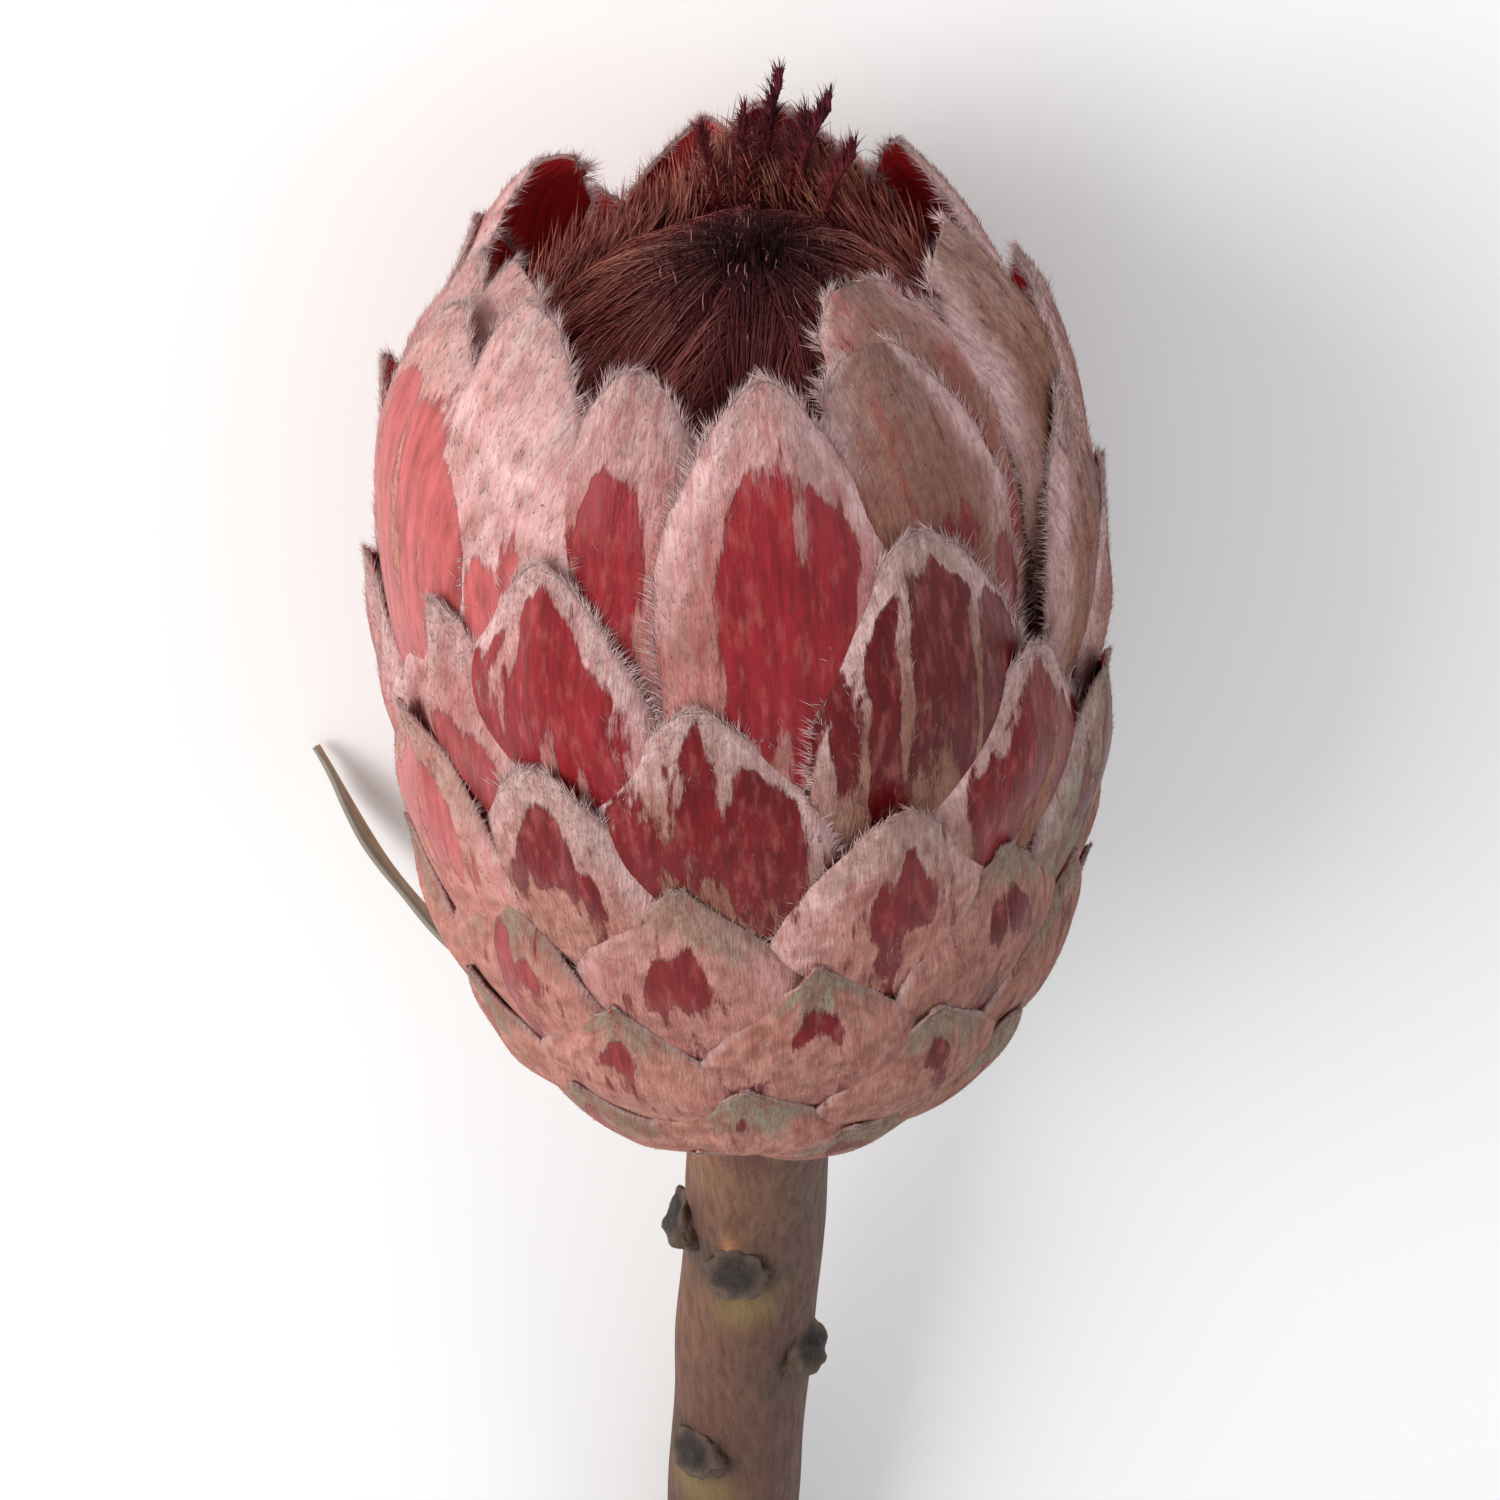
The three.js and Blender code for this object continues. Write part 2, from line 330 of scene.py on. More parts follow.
# %% The cup's outline and its layers
STEPS = 12
FOCUS_HEIGHT = 40
LOWER_ARC = ((8, 0), (22, 0.5), (32, 14), (32, 40))
UPPER_ARC = ((32, 40), (32, 67), (28.5, 88), (8, 95))


def arc_points(arc, count=160):
    t = np.linspace(0, 1, count)[:, None]
    a, b, c, d = (np.array(p, dtype=float) for p in arc)
    return (1 - t) ** 3 * a + 3 * (1 - t) ** 2 * t * b + 3 * (1 - t) * t**2 * c + t**3 * d


skin = np.vstack([arc_points(LOWER_ARC), arc_points(UPPER_ARC)[1:]])
along_skin = np.concatenate([[0], np.cumsum(np.hypot(*np.diff(skin, axis=0).T))])
STEP_LENGTH = along_skin[-1] / STEPS
print("one step along the cup, mm:", round(STEP_LENGTH, 2))


def section(step, depth):
    """Radius and height of places in the head's section, depth millimetres inside its skin."""
    radius = np.interp(step * STEP_LENGTH, along_skin, skin[:, 0])
    height = np.interp(step * STEP_LENGTH, along_skin, skin[:, 1])
    reach = np.hypot(radius, FOCUS_HEIGHT - height)
    return (
        radius - depth * radius / reach,
        height + depth * (FOCUS_HEIGHT - height) / reach,
        height,
    )


def step_at(height):
    return float(np.interp(height, skin[:, 1], along_skin / STEP_LENGTH))


def around(radius, azimuth, height):
    return np.column_stack([radius * np.sin(azimuth), -radius * np.cos(azimuth), height])


# %% [markdown]
# ## Where each bract stands
#
# Leaves, scales and petals very often follow the golden angle: each one stands 137.5 degrees
# round from the last. Counting inwards and outwards from one bract in the middle gives the
# azimuth of all of them. The tips climb by the same amount for each bract inwards, and by less
# and less near the mouth. A real bloom isn't perfect, so a few have grown off the spiral.

# %% The spiral
GOLDEN_ANGLE = 137.508
FIRST_AZIMUTH = 0.5
MIDDLE_TIP_HEIGHT = 65
TIP_STEP = 1.2
INNER_RISE = 1.55
INNER_RISE_LOSS = 0.0195
LAYER_PITCH = 0.21
INNERMOST = -26
LAST_LONG_BRACT = 23
OUTERMOST = 47
HALF_WIDTH = 10
INNER_NARROWING = 0.06
TAPER_STEPS = 1.7
LARGEST_TAPER = 0.6
LARGEST_HALF_ANGLE = math.radians(24)

# degrees to the right, millimetres higher, layers deeper
SHIFTED = {
    -26: (17, 0, 2), -24: (-8, 0, 1), -22: (12, 0, 0), -21: (-13, 0, 0), -19: (9, 2, 1),
    -18: (-14, 2, 0), -16: (-8, 5, 0), -13: (-7, 6, 0), -11: (4, 8, 0), -10: (9, 0, 0),
    -8: (-12, 0, 0), -5: (-5, 5, 0), 0: (-8, 2, 0), 3: (-8, 3, 0), 10: (6, 5, 0), 11: (-6, 4, 0),
}


def spiral_place(rank):
    """What makes one bract different from the next."""
    right, higher, deeper = SHIFTED.get(rank, (0, 0, 0))
    inner = max(0, -rank)
    if rank > 0:
        height = MIDDLE_TIP_HEIGHT - TIP_STEP * rank
    else:
        height = MIDDLE_TIP_HEIGHT + INNER_RISE * inner - INNER_RISE_LOSS * inner * inner
    base = 1.0 if rank <= LAST_LONG_BRACT else 0.72
    tip = step_at(height + higher)
    return {
        "rank": rank,
        "layer": rank - deeper,
        "azimuth": math.radians(FIRST_AZIMUTH + GOLDEN_ANGLE * rank + right),
        "tip_height": height + higher,
        "base": base,
        "tip": tip,
        "taper": min(TAPER_STEPS, LARGEST_TAPER * (tip - base)),
        "half": HALF_WIDTH - INNER_NARROWING * inner,
        "seed": 3.7 * (rank - INNERMOST) + 0.5,
    }


spiral = [spiral_place(rank) for rank in range(INNERMOST, OUTERMOST + 1)]
print("bracts:", len(spiral), "tips from", round(spiral[-1]["tip_height"]), "to",
      round(max(b["tip_height"] for b in spiral)), "mm")

# %% [markdown]
# ## What each bract looks like
#
# A bract is waxy red skin under a layer of fine felt. The felt is rubbed off in a ragged patch
# that starts some way below the tip, where the bract stood against its neighbours, so the patch
# is bare and shiny. Bracts near the mouth are wide and pinkish white at their margins. Bracts
# near the stem are small and tight, with grey tips and little patches. Most follow this rule
# with a small chance of their own, and the ones in front are listed one by one.

# %% Colours, and the character of each bract
# how pale the free margins are, where it isn't the usual 1: all these bracts stand on the right of the
# head, so the lower paleness is partly their own colour and partly painted shade
PALENESS_AND_SHADE = {-26: 0.3, -18: 0.25, -23: 0.45, -10: 0.6, -20: 0.6}
def paint(red, green, blue):
    """A colour as people pick it, 0 to 255, as the linear light a shader works in."""
    return np.array([((c / 255 + 0.055) / 1.055) ** 2.4 for c in (red, green, blue)])


RED = paint(148, 34, 42)
DEEP_RED = paint(120, 22, 27)
MAROON = paint(98, 15, 20)
SALMON_RED = paint(194, 94, 94)
PINK_FELT = paint(184, 126, 122)
WHITE_FELT = paint(222, 188, 186)
BEIGE_FELT = paint(156, 114, 96)
# The next felt, given to two bracts on the right of the head, is darker partly for their own brown and
# partly as painted shade.
BROWN_FELT_AND_SHADE = paint(136, 100, 86)
GREY_FELT = paint(144, 136, 118)
SALMON_FELT = paint(194, 142, 128)
INSIDE_RED = paint(238, 58, 62)

# The skin and felt listed for bracts on the right of the head are mostly darker (maroon, beige, grey,
# brown) and those on the left paler (salmon): partly their own colour, partly painted shade on the right
# and painted light on the left.
# rank: bare patch starts at, its length, its share of the width, its lean, skin, felt, tip width
CHARACTER = {
    -13: (4.5, 30, 0.62, 0.12, RED, PINK_FELT, 0.5),
    -21: (7.5, 27, 0.48, -0.20, RED, PINK_FELT, 0.7),
    0: (0.8, 20, 0.75, 0.00, DEEP_RED, BEIGE_FELT, 0.5),
    -5: (1.5, 22, 0.95, 0.05, MAROON, BEIGE_FELT, 1.2),
    3: (1.5, 19, 0.70, 0.15, DEEP_RED, BEIGE_FELT, 0.5),
    -8: (1.8, 22, 0.72, -0.15, RED, PINK_FELT, 0.6),
    -11: (7.0, 34, 1.20, -0.10, SALMON_RED, SALMON_FELT, 0.8),
    -16: (14.0, 10, 0.30, 0.30, SALMON_RED, WHITE_FELT, 1.2),
    -24: (13.0, 12, 0.30, 0.00, SALMON_RED, PINK_FELT, 2.2),
    -18: (13.0, 22, 0.55, 0.40, DEEP_RED, BROWN_FELT_AND_SHADE, 2.4),
    -26: (12.0, 14, 0.40, 0.20, RED, BROWN_FELT_AND_SHADE, 2.2),
    -10: (6.0, 24, 0.50, 0.30, MAROON, BEIGE_FELT, 0.8),
    -23: (14.0, 16, 0.40, 0.20, MAROON, BEIGE_FELT, 2.6),
    -19: (10.0, 20, 0.55, 0.00, SALMON_RED, PINK_FELT, 1.6),
    -22: (12.0, 12, 0.40, 0.00, SALMON_RED, PINK_FELT, 2.0),
    10: (3.0, 13, 0.60, 0.00, SALMON_RED, SALMON_FELT, 0.9),
    11: (3.5, 14, 0.60, 0.20, MAROON, GREY_FELT, 0.5),
    5: (3.5, 11, 0.40, 0.00, DEEP_RED, SALMON_FELT, 0.9),
    8: (4.0, 10, 0.40, 0.05, DEEP_RED, SALMON_FELT, 0.9),
}


def chance(seed, low, high):
    """A number between low and high that is always the same for one seed."""
    share = math.sin(seed * 12.9898) * 43758.5453
    return low + (high - low) * (share - math.floor(share))


def give_character(bract):
    rank = bract["rank"]
    seed = bract["seed"]
    right = math.sin(bract["azimuth"])
    if rank in CHARACTER:
        start, length, width, lean, skin, felt, blunt = CHARACTER[rank]
    else:
        upper = 1 - float(ease(-4, 26, rank))
        start = chance(seed, 3.5, 5.0) + 4.5 * upper
        length = 3.5 + chance(seed + 1, 10, 20) * upper
        width = chance(seed + 2, 0.25, 0.4) + 0.35 * upper
        lean = chance(seed + 3, -0.2, 0.25)
        # Skin turns maroon towards the right of the head and salmon towards the left, and felt turns beige
        # towards the right: partly the bracts' own colour, partly painted shade on the right side and
        # painted light on the left.
        skin = DEEP_RED + (MAROON - DEEP_RED) * max(0, right)
        skin = skin + (SALMON_RED - skin) * 0.6 * max(0, -right)
        felt = SALMON_FELT + (PINK_FELT - SALMON_FELT) * upper
        felt = felt + (BEIGE_FELT - felt) * 0.8 * max(0, right)
        blunt = chance(seed + 4, 0.25, 0.5) + 0.7 * upper * chance(seed + 7, 0, 1)
    bract.update(
        start=start, length=length, width=width, lean=lean, skin=skin, felt=felt, blunt=blunt,
        upper=1 - float(ease(2, 20, rank)),
        curl=chance(seed + 5, -0.5, 0.5),
        ridge=chance(seed + 6, -0.35, 0.35),
        seam=chance(seed + 8, -0.4, 0.4),
        paleness=PALENESS_AND_SHADE.get(rank, 1.0),
    )


for bract in spiral:
    give_character(bract)
print("bracts given by hand:", len(CHARACTER))

# %% [markdown]
# ## The face of a bract
#
# A bract's sheet is a function of two shares: across, from -1 at its left margin to 1 at its
# right, and along, from 0 at its base to 1 at its tip. The same function places the points of
# the blade and the roots of its hairs, so that hairs always stand on the surface. Below its
# free end a bract is pressed flat by its neighbours. Its free end is hollowed, ridged and curled.

# %% The sheet function
ROW_CROWDING = 1.6
TIP_SHAPE = 0.75
BASE_SHARE = 0.45
CUPPING = 0.3
PRESSED_TIP = 2.5
PRESSED_MARGIN = 0.8
FACE_STANDS = 0.2
FREE_FROM = 17
FREE_TO = 4


def sheet(bract, across, along):
    """Upright points in mm on a bract's outer face, with half widths and distances from the tip."""
    base, tip, taper = bract["base"], bract["tip"], bract["taper"]
    step = base + (tip - base) * (1 - (1 - along) ** ROW_CROWDING)
    below = (tip - step) * STEP_LENGTH
    beyond = np.clip((step - tip + taper) / taper, 0, 1)
    before = np.clip((step - base) / (tip - taper - base), 0, 1)
    blunt = bract["blunt"]
    roundness = TIP_SHAPE + 0.45 * (1 - bract["upper"])
    narrowing = np.abs(np.cos(beyond * math.pi / 2)) ** roundness
    pointed = blunt + (bract["half"] - blunt) * narrowing
    straight = bract["half"] * (BASE_SHARE + (1 - BASE_SHARE) * np.sin(before * math.pi / 2))
    half = np.where(beyond > 0, pointed, straight)

    seed = bract["seed"]
    free = 1 - ease(FREE_TO, FREE_FROM, below)
    free = free * (0.35 + 0.65 * bract["upper"])
    margin = np.abs(across) ** 3 * np.sign(across)
    ragged = grain(below * 0.55, margin * 3 + seed, 5.0) + 0.5 * grain(below * 1.7, margin * 3 + seed, 8.0)
    half = half + ragged * np.abs(margin) * (0.2 + 0.2 * bract["blunt"] * bract["upper"])

    aside = across * half / bract["half"]
    folds = grain(aside * 2.4 + seed, below * 0.045, seed)
    dents = grain(aside * 1.3 + seed, below * 0.16, seed + 40)
    crease = np.exp(-(((aside - bract["ridge"]) / 0.16) ** 2))
    relief = folds * (0.12 + 0.7 * free) + dents * (0.10 + 0.5 * free)
    relief = relief + crease * (0.08 + 0.45 * free)
    pressed = (PRESSED_TIP - 1.2 * bract["upper"]) * (1 - ease(0, 14, below))
    hollow = CUPPING * aside**2 + PRESSED_MARGIN * across**4 * np.minimum(1, half / 5) + pressed
    hollow = hollow + free * (1.6 * aside**2 - bract["curl"] * free)

    place = section(step, 0)[2]
    depth = LAYER_PITCH * ((MIDDLE_TIP_HEIGHT - place) / TIP_STEP - bract["layer"])
    radius, height, _ = section(step, depth + hollow - relief - FACE_STANDS)
    angle = np.minimum(half / np.maximum(radius, 0.5), LARGEST_HALF_ANGLE)
    return around(radius, bract["azimuth"] + across * angle, height), half, below


def bareness(bract, across, below, half):
    """How bare of felt a place is: above 0.5, the skin shows."""
    seed = bract["seed"]
    offset = across - bract["lean"] * ease(0, 20, below)
    opening = bract["width"] * (0.35 + 0.65 * ease(bract["start"], bract["start"] + 9, below))
    wide = 1 - ease(opening * 0.75, opening * 1.25 + 0.12, np.abs(offset))
    begun = ease(bract["start"] - 1.5, bract["start"] + 2.5, below)
    ended = ease(bract["start"] + bract["length"] * 0.6, bract["start"] + bract["length"] * 1.15, below)
    streaks = grain(across * half * 0.62 + seed, below * 0.075, seed)
    flecks = grain(across * half * 1.1 + seed, below * 0.3, seed + 9)
    opened = wide * begun * (1 - 0.75 * ended)
    seam = bract["seam"] + 0.25 * grain(below * 0.12 + seed, across * 0, seed + 5)
    felted = np.exp(-(((across - seam) / 0.09) ** 2)) * ease(bract["start"], bract["start"] + 7, below)
    patch = 1.05 * opened - 0.05 + (0.3 + 0.7 * opened) * (1.9 * streaks + 0.6 * flecks)
    return patch - 0.8 * felted * bract["upper"]


# %% [markdown]
# ## The materials of a bract
#
# The colour on the outside needs two layers that meet at a ragged edge. They could be two
# materials, but then the edge would follow faces. Here one material mixes them by a value kept
# at each point, which fine noise then frays. The noise is stretched lengthwise by
# reading the place on the sheet, in millimetres, from an attribute: hair and veins run that way.

# %% Small helpers for node trees
class Recipe:
    """A material's node tree, built by short calls that each return an output socket."""

    def __init__(self, name):
        self.material = bpy.data.materials.new(name)
        self.material.use_nodes = True
        self.tree = self.material.node_tree
        self.shader = self.tree.nodes["Principled BSDF"]

    def node(self, kind, **settings):
        made = self.tree.nodes.new(kind)
        for setting, value in settings.items():
            setattr(made, setting, value)
        return made

    def put(self, socket, value):
        if isinstance(value, bpy.types.NodeSocket):
            self.tree.links.new(value, socket)
        elif isinstance(value, (tuple, list, np.ndarray)):
            socket.default_value = (*value[:3], 1) if len(socket.default_value) == 4 else value
        else:
            socket.default_value = value

    def stored(self, name, output="Fac"):
        return self.node("ShaderNodeAttribute", attribute_name=name).outputs[output]

    def object_place(self):
        return self.node("ShaderNodeTexCoord").outputs["Object"]

    def scaled(self, place, scale):
        made = self.node("ShaderNodeMapping")
        self.put(made.inputs["Vector"], place)
        made.inputs["Scale"].default_value = scale
        return made.outputs["Vector"]

    def noise(self, place, scale, detail=3.0, rough=0.55):
        made = self.node("ShaderNodeTexNoise")
        self.put(made.inputs["Vector"], place)
        made.inputs["Scale"].default_value = scale
        made.inputs["Detail"].default_value = detail
        made.inputs["Roughness"].default_value = rough
        return made.outputs["Fac"]

    def sum(self, operation, first, second=0.0, third=0.0):
        made = self.node("ShaderNodeMath", operation=operation)
        for socket, value in zip(made.inputs, (first, second, third)):
            self.put(socket, value)
        return made.outputs[0]

    def spread(self, value, low, high, to_low=0.0, to_high=1.0):
        made = self.node("ShaderNodeMapRange")
        for name, item in (
            ("Value", value), ("From Min", low), ("From Max", high),
            ("To Min", to_low), ("To Max", to_high),
        ):
            self.put(made.inputs[name], item)
        return made.outputs["Result"]

    def mix(self, share, first, second, blend="MIX"):
        made = self.node("ShaderNodeMix", data_type="RGBA", blend_type=blend)
        self.put(made.inputs[0], share)
        self.put(made.inputs[6], first)
        self.put(made.inputs[7], second)
        return made.outputs[2]

    def bump(self, height, distance, strength=1.0):
        made = self.node("ShaderNodeBump")
        made.inputs["Distance"].default_value = distance
        made.inputs["Strength"].default_value = strength
        self.put(made.inputs["Height"], height)
        self.put(self.shader.inputs["Normal"], made.outputs["Normal"])

    def set(self, **values):
        for name, value in values.items():
            self.put(self.shader.inputs[name.replace("_", " ")], value)


# %% The outside of a bract
def outside_recipe(name, skin_gloss):
    make = Recipe(name)
    place = make.stored("sheet", "Vector")
    streaks = make.noise(make.scaled(place, (1.3, 0.2, 1.0)), 1.0, 5.0, 0.65)
    fibres = make.noise(make.scaled(place, (5.0, 0.7, 1.0)), 1.0, 3.0, 0.6)
    clumps = make.noise(make.scaled(place, (1.6, 0.9, 1.0)), 1.0, 4.0, 0.65)

    frayed = make.sum("MULTIPLY_ADD", streaks, 1.5, make.stored("bare"))
    frayed = make.sum("MULTIPLY_ADD", fibres, 0.7, frayed)
    bare = make.spread(frayed, 1.44, 1.68)

    veins = make.spread(streaks, 0.35, 0.65)
    skin = make.mix(veins, make.stored("skin", "Color"), (0.55, 0.5, 0.5), "MULTIPLY")
    blotches = make.noise(make.scaled(place, (1.2, 0.35, 1.0)), 1.0, 4.0, 0.6)
    skin = make.mix(make.spread(blotches, 0.5, 0.7, 0.0, 0.22), skin, (0.62, 0.2, 0.17))
    felt_dark = make.mix(0.42, make.stored("felt", "Color"), make.stored("skin", "Color"))
    felt = make.mix(make.spread(fibres, 0.3, 0.62), felt_dark, make.stored("felt", "Color"))
    felt = make.mix(make.spread(clumps, 0.42, 0.66, 0.0, 0.75), felt, make.stored("under", "Color"))
    felt = make.mix(make.spread(streaks, 0.46, 0.66, 0.0, 0.4), felt, make.stored("skin", "Color"))
    colour = make.mix(bare, felt, skin)
    specks = make.noise(make.scaled(place, (2.6, 2.0, 1.0)), 1.0, 2.0, 0.5)
    colour = make.mix(make.spread(specks, 0.72, 0.76, 0.0, 0.75), colour, (0.05, 0.022, 0.018))

    height = make.sum("MULTIPLY", fibres, make.spread(bare, 0.0, 1.0, 1.0, 0.12))
    height = make.sum("MULTIPLY_ADD", streaks, 0.7, height)
    height = make.sum("MULTIPLY_ADD", bare, -0.5, height)
    make.bump(height, 0.00025, 0.8)
    make.set(Base_Color=colour, Roughness=make.spread(bare, 0.0, 1.0, 0.92, skin_gloss))
    make.set(Specular_IOR_Level=0.22)
    return make.material


# %% The inside of a bract
def inside_recipe():
    make = Recipe("bract_inside")
    place = make.stored("sheet", "Vector")
    veins = make.noise(make.scaled(place, (1.4, 0.06, 1.0)), 1.0, 3.0, 0.5)
    colour = make.mix(make.spread(veins, 0.35, 0.7), INSIDE_RED, INSIDE_RED * 0.62)
    make.bump(veins, 0.0002, 0.6)
    make.set(Base_Color=colour, Roughness=make.spread(veins, 0.3, 0.7, 0.34, 0.5))
    return make.material


bract_outside = outside_recipe("bract_outside", 0.38)
scale_outside = outside_recipe("scale_outside", 0.5)
bract_inside = inside_recipe()

# %% [markdown]
# ## The blades
#
# All the bracts are one shape in different places, so one flat blade is modelled and copied.
# Each copy's points go through the sheet function, its colours are kept at its points, and a
# Solidify modifier gives it the thickness of leather, with the inside in its own material.

# %% One blade, then all of them
BLADE_THICKNESS = 0.38
bpy.ops.object.select_all(action="DESELECT")
bpy.ops.mesh.primitive_grid_add(x_subdivisions=20, y_subdivisions=46, size=2, location=(0, 0, 0))
blade = bpy.context.object
blade.name = "blade"
blade_across = coordinates(blade)[:, 0]
blade_along = (coordinates(blade)[:, 1] + 1) / 2


def felt_colours(bract, across, below):
    """The felt's colour at each place: pale at the free margins, grey at the tips below."""
    upper = bract["upper"]
    seed = bract["seed"]
    wander = grain(across * 3 + seed, below * 0.25, seed + 3)
    edge = ease(0.45, 0.95, np.abs(across) + 0.25 * wander)
    near_tip = 1 - ease(2, 13, below + 5 * wander)
    # On bracts on the right with paleness below 1, the pale tips are dimmed, partly as painted shade.
    pale = np.clip(near_tip * 0.75 * bract["paleness"] + edge * (1 - ease(8, 26, below)), 0, 1)
    pale = pale[:, None] * upper
    grey_reach = 8.0 + 1.5 * math.sin(seed)
    grey = 1 - ease(grey_reach * 0.5, grey_reach, below + 5 * wander - 1.5 * across)
    grey = np.clip(grey, 0, 1)[:, None] * (1 - 0.8 * upper)
    colour = bract["felt"] + (WHITE_FELT - bract["felt"]) * pale
    colour = colour + (GREY_FELT - colour) * grey
    clumps = grain(across * 6 + seed, below * 0.55, seed + 21) + 0.7 * grain(across * 13, below * 1.1, seed)
    brown = np.clip(0.25 + 1.5 * clumps, 0, 1)[:, None] * (0.75 - 0.5 * pale)
    colour = colour + (BEIGE_FELT * 0.75 - colour) * brown
    rim = ((np.abs(across) > 0.97) | (below < 0.25))[:, None] * (1 - upper)
    return colour + (WHITE_FELT * 0.8 - colour) * rim * 0.8


def make_blade(bract, name, outside):
    points, half, below = sheet(bract, blade_across, blade_along)
    made = new_object(name, blade.data.copy())
    set_coordinates(made, laid(points))
    mesh = made.data
    seed = bract["seed"]
    store_sheet(mesh, [blade_across * half + seed * 7, below, np.full(len(below), seed)])
    paint_points(mesh, "bare", bareness(bract, blade_across, below, half))
    paint_points(mesh, "skin", np.tile(bract["skin"], (len(below), 1)))
    paint_points(mesh, "felt", felt_colours(bract, blade_across, below))
    paint_points(mesh, "under", felt_colours(bract, blade_across, below) * 0.6 + bract["skin"] * 0.2)
    mesh.materials.append(outside)
    mesh.materials.append(bract_inside)
    thicken = made.modifiers.new("leather", "SOLIDIFY")
    thicken.thickness = BLADE_THICKNESS * MM
    thicken.offset = -1
    thicken.material_offset = 1
    apply_all(made)
    smooth(made)
    return made


def node_of(bract):
    return f"bract_{bract['rank'] - INNERMOST + 1:02d}"


bracts = []
scales = []
for bract in spiral:
    if bract["rank"] <= LAST_LONG_BRACT:
        node = node_of(bract)
        made = make_blade(bract, node + "_blade", bract_outside)
        bracts.append(finish_piece(made, "bract", node))
    else:
        bract["base"] = 0.12
        scales.append(make_blade(bract, f"scale_{bract['rank']}", scale_outside))

base_scales = join(scales, "base_scales")
finish_piece(base_scales, "base_scale", "receptacle_and_scales")
print("blades:", len(bracts), "and", len(scales), "scales,", len(bracts[0].data.polygons), "faces each")

# %% [markdown]
# ## Hairs
#
# The felt is made of single hairs, about a millimetre long, that stand off the surface along the
# margins. Blender's own hair would be the usual way, but it isn't a mesh, and a library part
# has to be one. So one hair is modelled, a three-sided spike, and thousands of copies of it
# are set in one mesh. Each copy is bent along its own curve and keeps its own colour.

# %% Two hairs to copy
def hair_shape(name, cuts):
    """A three-sided spike, one unit long, with its points and its triangles."""
    bpy.ops.object.select_all(action="DESELECT")
    bpy.ops.mesh.primitive_cone_add(
        vertices=3, radius1=1, radius2=0, depth=1, location=(0, 0, 0.5), end_fill_type="NGON"
    )
    spike = bpy.context.object
    spike.name = name
    bpy.ops.object.transform_apply(location=True, rotation=False, scale=False)
    bpy.ops.object.mode_set(mode="EDIT")
    for cut in cuts:
        bpy.ops.mesh.select_all(action="SELECT")
        bpy.ops.mesh.bisect(plane_co=(0, 0, cut), plane_no=(0, 0, 1))
    bpy.ops.mesh.select_all(action="SELECT")
    bpy.ops.mesh.quads_convert_to_tris()
    bpy.ops.object.mode_set(mode="OBJECT")
    points = coordinates(spike)
    corners = np.array([list(face.vertices) for face in spike.data.polygons])
    bpy.data.objects.remove(spike)
    print(name, "has", len(corners), "triangles")
    return points, corners


SHORT_HAIR = hair_shape("short_hair", ())
LONG_HAIR = hair_shape("long_hair", (0.25, 0.5, 0.75))


def crosswise(direction):
    """Two unit vectors square to each direction, and to each other."""
    helper = np.where(np.abs(direction[:, 2:3]) > 0.8, (1.0, 0, 0), (0, 0, 1.0))
    first = np.cross(direction, helper)
    first /= np.linalg.norm(first, axis=1, keepdims=True)
    return first, np.cross(direction, first)


def hair_mesh(name, shape, roots, middles, ends, widths, root_colours, tip_colours):
    """One mesh with a copy of the hair along each curve from root by middle to end."""
    points, corners = shape
    count = len(roots)
    reach = ends - roots
    direction = reach / np.linalg.norm(reach, axis=1, keepdims=True)
    first, second = crosswise(direction)
    t = points[:, 2][None, :, None]
    curve = (1 - t) ** 2 * roots[:, None] + 2 * t * (1 - t) * middles[:, None] + t**2 * ends[:, None]
    ring = first[:, None] * points[:, 0][None, :, None] + second[:, None] * points[:, 1][None, :, None]
    places = curve + ring * np.reshape(widths, (-1, 1, 1)) / 2
    colours = root_colours[:, None] + (tip_colours - root_colours)[:, None] * t
    faces = (corners[None] + (np.arange(count) * len(points))[:, None, None]).reshape(-1, 3)
    mesh = bpy.data.meshes.new(name)
    mesh.vertices.add(count * len(points))
    mesh.vertices.foreach_set("co", laid(places.reshape(-1, 3)).ravel())
    mesh.loops.add(faces.size)
    mesh.loops.foreach_set("vertex_index", faces.ravel().astype(np.int32))
    mesh.polygons.add(len(faces))
    mesh.polygons.foreach_set("loop_start", np.arange(0, faces.size, 3, dtype=np.int32))
    mesh.update(calc_edges=True)
    paint_points(mesh, "hair", np.clip(colours.reshape(-1, 3), 0, 1))
    made = new_object(name, mesh)
    print(name, count, "hairs,", len(faces), "triangles")
    return made


def hair_recipe(name, rough, sheen):
    make = Recipe(name)
    mottle = make.noise(make.object_place(), 900.0, 2.0, 0.5)
    shade = make.spread(mottle, 0.35, 0.65, 0.0, 0.6)
    colour = make.mix(shade, make.stored("hair", "Color"), (0.72, 0.7, 0.7), "MULTIPLY")
    make.bump(mottle, 0.00005, 0.4)
    make.set(Base_Color=colour, Roughness=make.spread(mottle, 0.3, 0.7, rough, rough + 0.15))
    make.set(Sheen_Weight=sheen, Sheen_Roughness=0.4, Specular_IOR_Level=0.2)
    return make.material


# %% [markdown]
# Hairs on the face lie along the bract and lean out a little. They are left out where the skin
# is bare. Hairs on the margins point outwards and towards the tip, and are longer on the upper
# bracts. Both kinds are set only near the free end, because the rest is covered.

# %% Comb the bracts
FACE_HAIRS_LONG = 1450
FACE_HAIRS_LOW = 1100
FACE_HAIRS_SCALE = 600
MARGIN_HAIRS_LONG = 1350
MARGIN_HAIRS_LOW = 500
MARGIN_HAIRS_SCALE = 260
NUDGE = 0.004
picker = np.random.default_rng(7)


def along_at(bract, below):
    """The share along a bract at a distance from its tip."""
    whole = (bract["tip"] - bract["base"]) * STEP_LENGTH
    return 1 - np.clip(below / whole, 0, 1) ** (1 / ROW_CROWDING)


